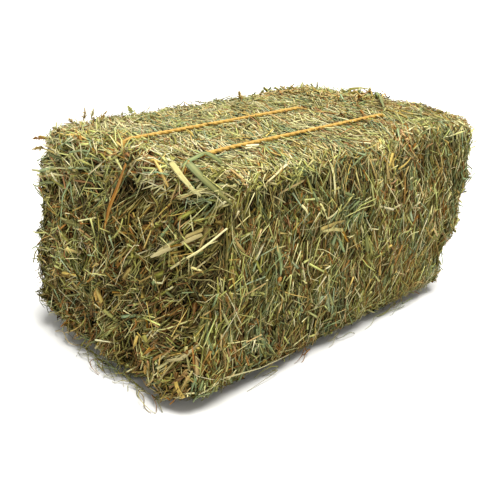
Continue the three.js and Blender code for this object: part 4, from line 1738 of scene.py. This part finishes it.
@dataclass
class Twine:
    """A loop of two-ply twine round the bale, with its knot and cut ends on the back."""

    form: BaleForm
    run: TwineRun
    finish: TwineFinish = TwineFinish()
    ply_share: float = 0.74
    lay_length: float = 0.026
    corner: float = 0.0248
    foot: float = 0.0036
    stations: int = 800
    fuzz: int = 700
    tail_length: float = 0.042
    fibre_length: tuple[float, float] = (0.004, 0.010)
    fibre_rise: float = 0.0026
    fibre_root: float = 0.0012
    fibre_radius: float = 0.00016
    knot_stand: float = 0.0032
    knot_size: float = 0.95
    knot_thinness: float = 0.85
    tail_bow: float = 0.006
    tail_drop: float = 0.85

    def loop(self) -> tuple[Array, Array]:
        """Stations at equal steps round the rounded rectangle of the loop, and the ways out there.

        The outline is four quarter circles joined by straight runs, resampled by length. It is sunk
        inwards by the run's sink wherever the twine is out of sight.

        Returns:
            The stations on the settled bale and the ways out.
        """
        depth, form = self.run.depth, self.form
        left, right = depth, form.length - depth
        top = form.height - depth
        angle = np.radians(np.linspace(0, 90, 13))
        centres = ((left, self.foot, 1, 1, 270), (left, top, 1, -1, 180),
                   (right, top, -1, -1, 90), (right, self.foot, -1, 1, 360))
        bends = []
        for x, z, inx, inz, start in centres:
            turn = np.radians(start) - angle
            bends.append(np.stack([x + inx * self.corner + self.corner * np.cos(turn),
                                   z + inz * self.corner + self.corner * np.sin(turn)], -1))
        outline = np.concatenate(bends + [bends[0][:1]])
        gone = np.concatenate([[0], np.cumsum(np.linalg.norm(np.diff(outline, axis=0), axis=1))])
        at = np.arange(self.stations) / self.stations * gone[-1]
        x, z = (np.interp(at, gone, outline[:, k]) for k in range(2))
        block = np.stack([x, np.full_like(x, self.run.across), z], -1)
        ahead = unit(np.roll(block, -1, 0) - np.roll(block, 1, 0))
        outward = np.cross(ahead, np.array([0.0, 1.0, 0.0]))
        hidden = 1 - self.run.shows(self.form, block)
        block = block - outward * (self.run.sink * hidden + self.run.dips(block))[:, None]
        block[:, 2] = np.maximum(block[:, 2], self.foot)
        return form.settle(block), outward

    def plies(self, mesher: Mesher, path: Array, outward: Array, closed: bool, thin: float = 1.0) -> None:
        """Adds two plies that wind round a path.

        Each ply's centre stands off the path by rho (cos w side + sin w lift), with w one turn for
        each lay length and half a turn between the plies.

        Args:
            mesher: takes the plies.
            path: stations of the twine.
            outward: the way out at each.
            closed: whether the last station joins the first.
            thin: share of the full thickness.
        """
        if closed:
            tangent = unit(np.roll(path, -1, 0) - np.roll(path, 1, 0))
        else:
            tangent = unit(np.gradient(path, axis=0))
        side = unit(np.cross(outward, tangent))
        lift = np.cross(tangent, side)
        length = np.linalg.norm(np.diff(path, axis=0), axis=1).sum()
        turns = max(round(length / self.lay_length), 1)
        steps = len(path) if closed else len(path) - 1
        w = 2 * np.pi * turns * np.arange(len(path)) / steps
        ply = self.run.radius * self.ply_share * thin
        rho = self.run.radius * thin - ply
        for phase in (0.0, np.pi):
            about = np.cos(w + phase)[:, None] * side + np.sin(w + phase)[:, None] * lift
            half = np.full((1, len(path), 2), ply)
            corners = carry((path + rho * about)[None], about[None], half, Section.ROUND, closed=closed)
            count = corners.shape[2]
            faces = tube_faces(1, len(path), count, np.zeros((1, 2)), np.ones((1, 2)), closed)
            mesher.add(corners.reshape(-1, 3), [(n, self.on_strips(p)) for n, p in faces])

    def on_strips(self, places: Array) -> Array:
        """Cuts a map that runs once round and once along into strips that lie side by side.

        Args:
            places: places on that map, face by face.

        Returns:
            Their places on the strips.
        """
        strips = self.finish.strips
        strip = np.floor(places[..., 1].min(-1, keepdims=True) * strips + 1e-6).clip(0, strips - 1)
        around = 0.02 + 0.96 * places[..., 0]
        along = (places[..., 1] * strips - strip).clip(0, 1)
        return np.stack([(strip + around) / strips, along], -1)

    def hairs(self, mesher: Mesher, rng: Generator, path: Array, outward: Array) -> None:
        """Adds the short fibres that stand off the twine, each a bent sliver that starts in it.

        Args:
            mesher: takes the fibres.
            rng: source of every random draw.
            path: stations of the twine.
            outward: the way out at each.
        """
        start = rng.integers(0, len(path) - 4, self.fuzz)
        ahead = unit(path[start + 2] - path[start]) * np.where(rng.random((self.fuzz, 1)) < 0.5, -1, 1)
        away = unit(outward[start] + 0.9 * rng.normal(size=(self.fuzz, 3)))
        reach = rng.uniform(*self.fibre_length, (self.fuzz, 1))
        t = np.array([0.0, 0.5, 1.0])[None, :, None]
        line = ahead[:, None] * reach[:, None] * t + away[:, None] * self.fibre_rise * t**0.8
        hair = path[start][:, None] + self.fibre_root * away[:, None] + line
        half = np.broadcast_to(self.fibre_radius * (1.1 - t), (self.fuzz, 3, 1)) * np.ones(2)
        facing = np.repeat(away[:, None], 3, 1)
        corners = carry(hair, facing, half, Section.STEM)
        spot = rng.random((self.fuzz, 2)) * 0.9 + 0.02
        faces = tube_faces(self.fuzz, 3, 3, spot, spot + 0.03)
        mesher.add(corners.reshape(-1, 3), faces)

    def knot(self, mesher: Mesher) -> None:
        """Adds the knot, a trefoil drawn tight, and the two cut ends that hang from it.

        The trefoil is (sin t + 2 sin 2t, cos t - 2 cos 2t, -sin 3t) times the twine's radius. A cut
        end leaves sideways and drops, as a smooth step in height.

        Args:
            mesher: takes the knot.
        """
        form, run = self.form, self.run
        spot = np.array([[form.length - run.depth, run.across, run.knot_height + step]
                         for step in (-0.001, 0, 0.001)])
        below, centre, above = form.settle(spot)
        upward = unit(above - below)
        outward = unit(np.array([upward[2], 0.0, -upward[0]]))
        sideways = np.array([0.0, 1.0, 0.0])
        centre = centre + outward * self.knot_stand
        t = np.linspace(0, 2 * np.pi, 96, endpoint=False)
        bow = np.stack([np.sin(t) + 2 * np.sin(2 * t), np.cos(t) - 2 * np.cos(2 * t), -np.sin(3 * t)], -1)
        axes = np.stack([upward * 1.25, sideways, outward * 1.4])
        path = centre + bow @ axes * run.radius * self.knot_size
        self.plies(mesher, path, np.broadcast_to(outward, path.shape), True, self.knot_thinness)
        for way in (-1.0, 1.0):
            s = np.linspace(0, 1, 40)
            drop = s * s * (3 - 2 * s)
            path = (centre + sideways * way * self.tail_length * 0.38 * np.sin(s * 1.9)[:, None]
                    + outward * self.tail_bow * np.sin(s * np.pi)[:, None]
                    - np.array([0.0, 0.0, self.tail_drop]) * self.tail_length * drop[:, None])
            self.plies(mesher, path, np.broadcast_to(outward, path.shape), False)

    def build(self) -> bpy.types.Object:
        """Makes the piece that stands for the CAD twine.

        Returns:
            The twine's object.
        """
        mesher = Mesher()
        path, outward = self.loop()
        self.plies(mesher, path, outward, True)
        self.hairs(mesher, np.random.default_rng(SEED + 5), path, outward)
        self.knot(mesher)
        made = mesher.make(f"{self.run.name}_laid", self.finish.material())
        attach(made, BODY)
        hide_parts(self.run.name)
        log.info("%s: %d faces", made.name, len(made.data.polygons))
        return made


# ------------------------------------------------------------
# Studio


@dataclass
class Studio:
    """A pale floor that sweeps up far away, soft light from above and the camera."""

    flat_radius: float = 4.0
    floor_radius: float = 60.0
    floor_rise: float = 30.0
    floor_sides: int = 64
    sun_strength: float = 8.0
    sun_softness: float = 34.0
    sun_tilt: tuple[float, float] = (12.0, 2.0)
    sky: tuple[float, float, float] = (0.84, 0.84, 0.83)
    sun: tuple[float, float, float] = (1.0, 0.985, 0.95)
    sky_strength: float = 0.455
    stand: tuple[float, float, float] = (-0.8776, -0.8778, 0.580)
    azimuth: float = -44.2
    elevation: float = 21.1
    lens: float = 52.0
    sensor: float = 36.0

    def floor(self) -> bpy.types.Object:
        """The floor, a surface of revolution: flat, then rising as the square of the distance.

        Returns:
            The floor's object.
        """
        count = self.floor_sides
        inner = np.linspace(0.02, self.flat_radius, 6)
        outer = np.linspace(self.flat_radius, self.floor_radius, 26)[1:]
        radius = np.concatenate([inner, outer])
        turn = np.arange(count) / count * 2 * np.pi
        far = np.maximum(radius - self.flat_radius, 0) / (self.floor_radius - self.flat_radius)
        rise = self.floor_rise * far**2
        ring = np.stack([np.cos(turn), np.sin(turn)], -1)
        height = np.broadcast_to(rise[:, None, None], (len(radius), count, 1))
        points = np.concatenate([radius[:, None, None] * ring, height], -1)
        i, j = np.meshgrid(np.arange(len(radius) - 1), np.arange(count), indexing="ij")
        k = (j + 1) % count
        corners = [i * count + j, (i + 1) * count + j, (i + 1) * count + k, i * count + k]
        quads = np.stack(corners, -1).reshape(-1, 4)
        mesh = bpy.data.meshes.new("floor")
        mesh.from_pydata(points.reshape(-1, 3).tolist(), [], quads.tolist() + [list(range(count))])
        mesh.polygons.foreach_set("use_smooth", np.ones(len(mesh.polygons), bool))
        mesh.materials.append(FloorFinish().material())
        floor = bpy.data.objects.new("floor", mesh)
        bpy.context.scene.collection.objects.link(floor)
        return floor

    def light(self) -> None:
        """A wide soft sun and an even sky."""
        sun = bpy.data.lights.new("soft sun", "SUN")
        sun.energy = self.sun_strength
        sun.color = self.sun
        sun.angle = math.radians(self.sun_softness)
        lamp = bpy.data.objects.new("soft sun", sun)
        lamp.rotation_euler = [math.radians(tilt) for tilt in (*self.sun_tilt, 0.0)]
        bpy.context.scene.collection.objects.link(lamp)
        world = bpy.data.worlds.new("studio sky")
        world.use_nodes = True
        sky = world.node_tree.nodes["Background"]
        sky.inputs["Color"].default_value = (*self.sky, 1.0)
        sky.inputs["Strength"].default_value = self.sky_strength
        bpy.context.scene.world = world

    def camera(self) -> None:
        """The camera at its stand, level and aimed by its azimuth and elevation."""
        azimuth, elevation = math.radians(self.azimuth), math.radians(self.elevation)
        back = Vector((math.sin(azimuth) * math.cos(elevation), -math.cos(azimuth) * math.cos(elevation),
                       math.sin(elevation)))
        data = bpy.data.cameras.new("camera")
        data.lens = self.lens
        data.sensor_width = self.sensor
        data.clip_end = 200.0
        camera = bpy.data.objects.new("camera", data)
        camera.location = self.stand
        camera.rotation_euler = back.to_track_quat("Z", "Y").to_euler()
        bpy.context.scene.collection.objects.link(camera)
        bpy.context.scene.camera = camera

    def build(self) -> None:
        """Sets the studio up."""
        self.floor()
        self.light()
        self.camera()
        bpy.context.scene.view_settings.view_transform = "Standard"


def main() -> None:
    """Builds the studio, the hay and the twines."""
    logging.basicConfig(level=logging.INFO, format="%(name)s: %(message)s")
    Studio().build()
    hay = [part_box(f"flake_{index:02d}") for index in range(1, BaleForm.flake_count + 1)]
    low = np.min([np.array(corners[0]) for corners in hay], axis=0)
    high = np.max([np.array(corners[1]) for corners in hay], axis=0)
    form = BaleForm().placed(low, high)
    bale = HayBale(form)
    lays = [*side_lays(Side.NEAR, 6.0), *side_lays(Side.FAR, 2.0), *end_lays(Side.FRONT),
            *end_lays(Side.BACK), *top_lays(), *edge_lays(), *under_lays()]
    bale.build(lays, laid_singly(bale))
    for run in TWINES:
        Twine(form, run).build()
    log.info("sizes written")


if __name__ == "__main__":
    main()
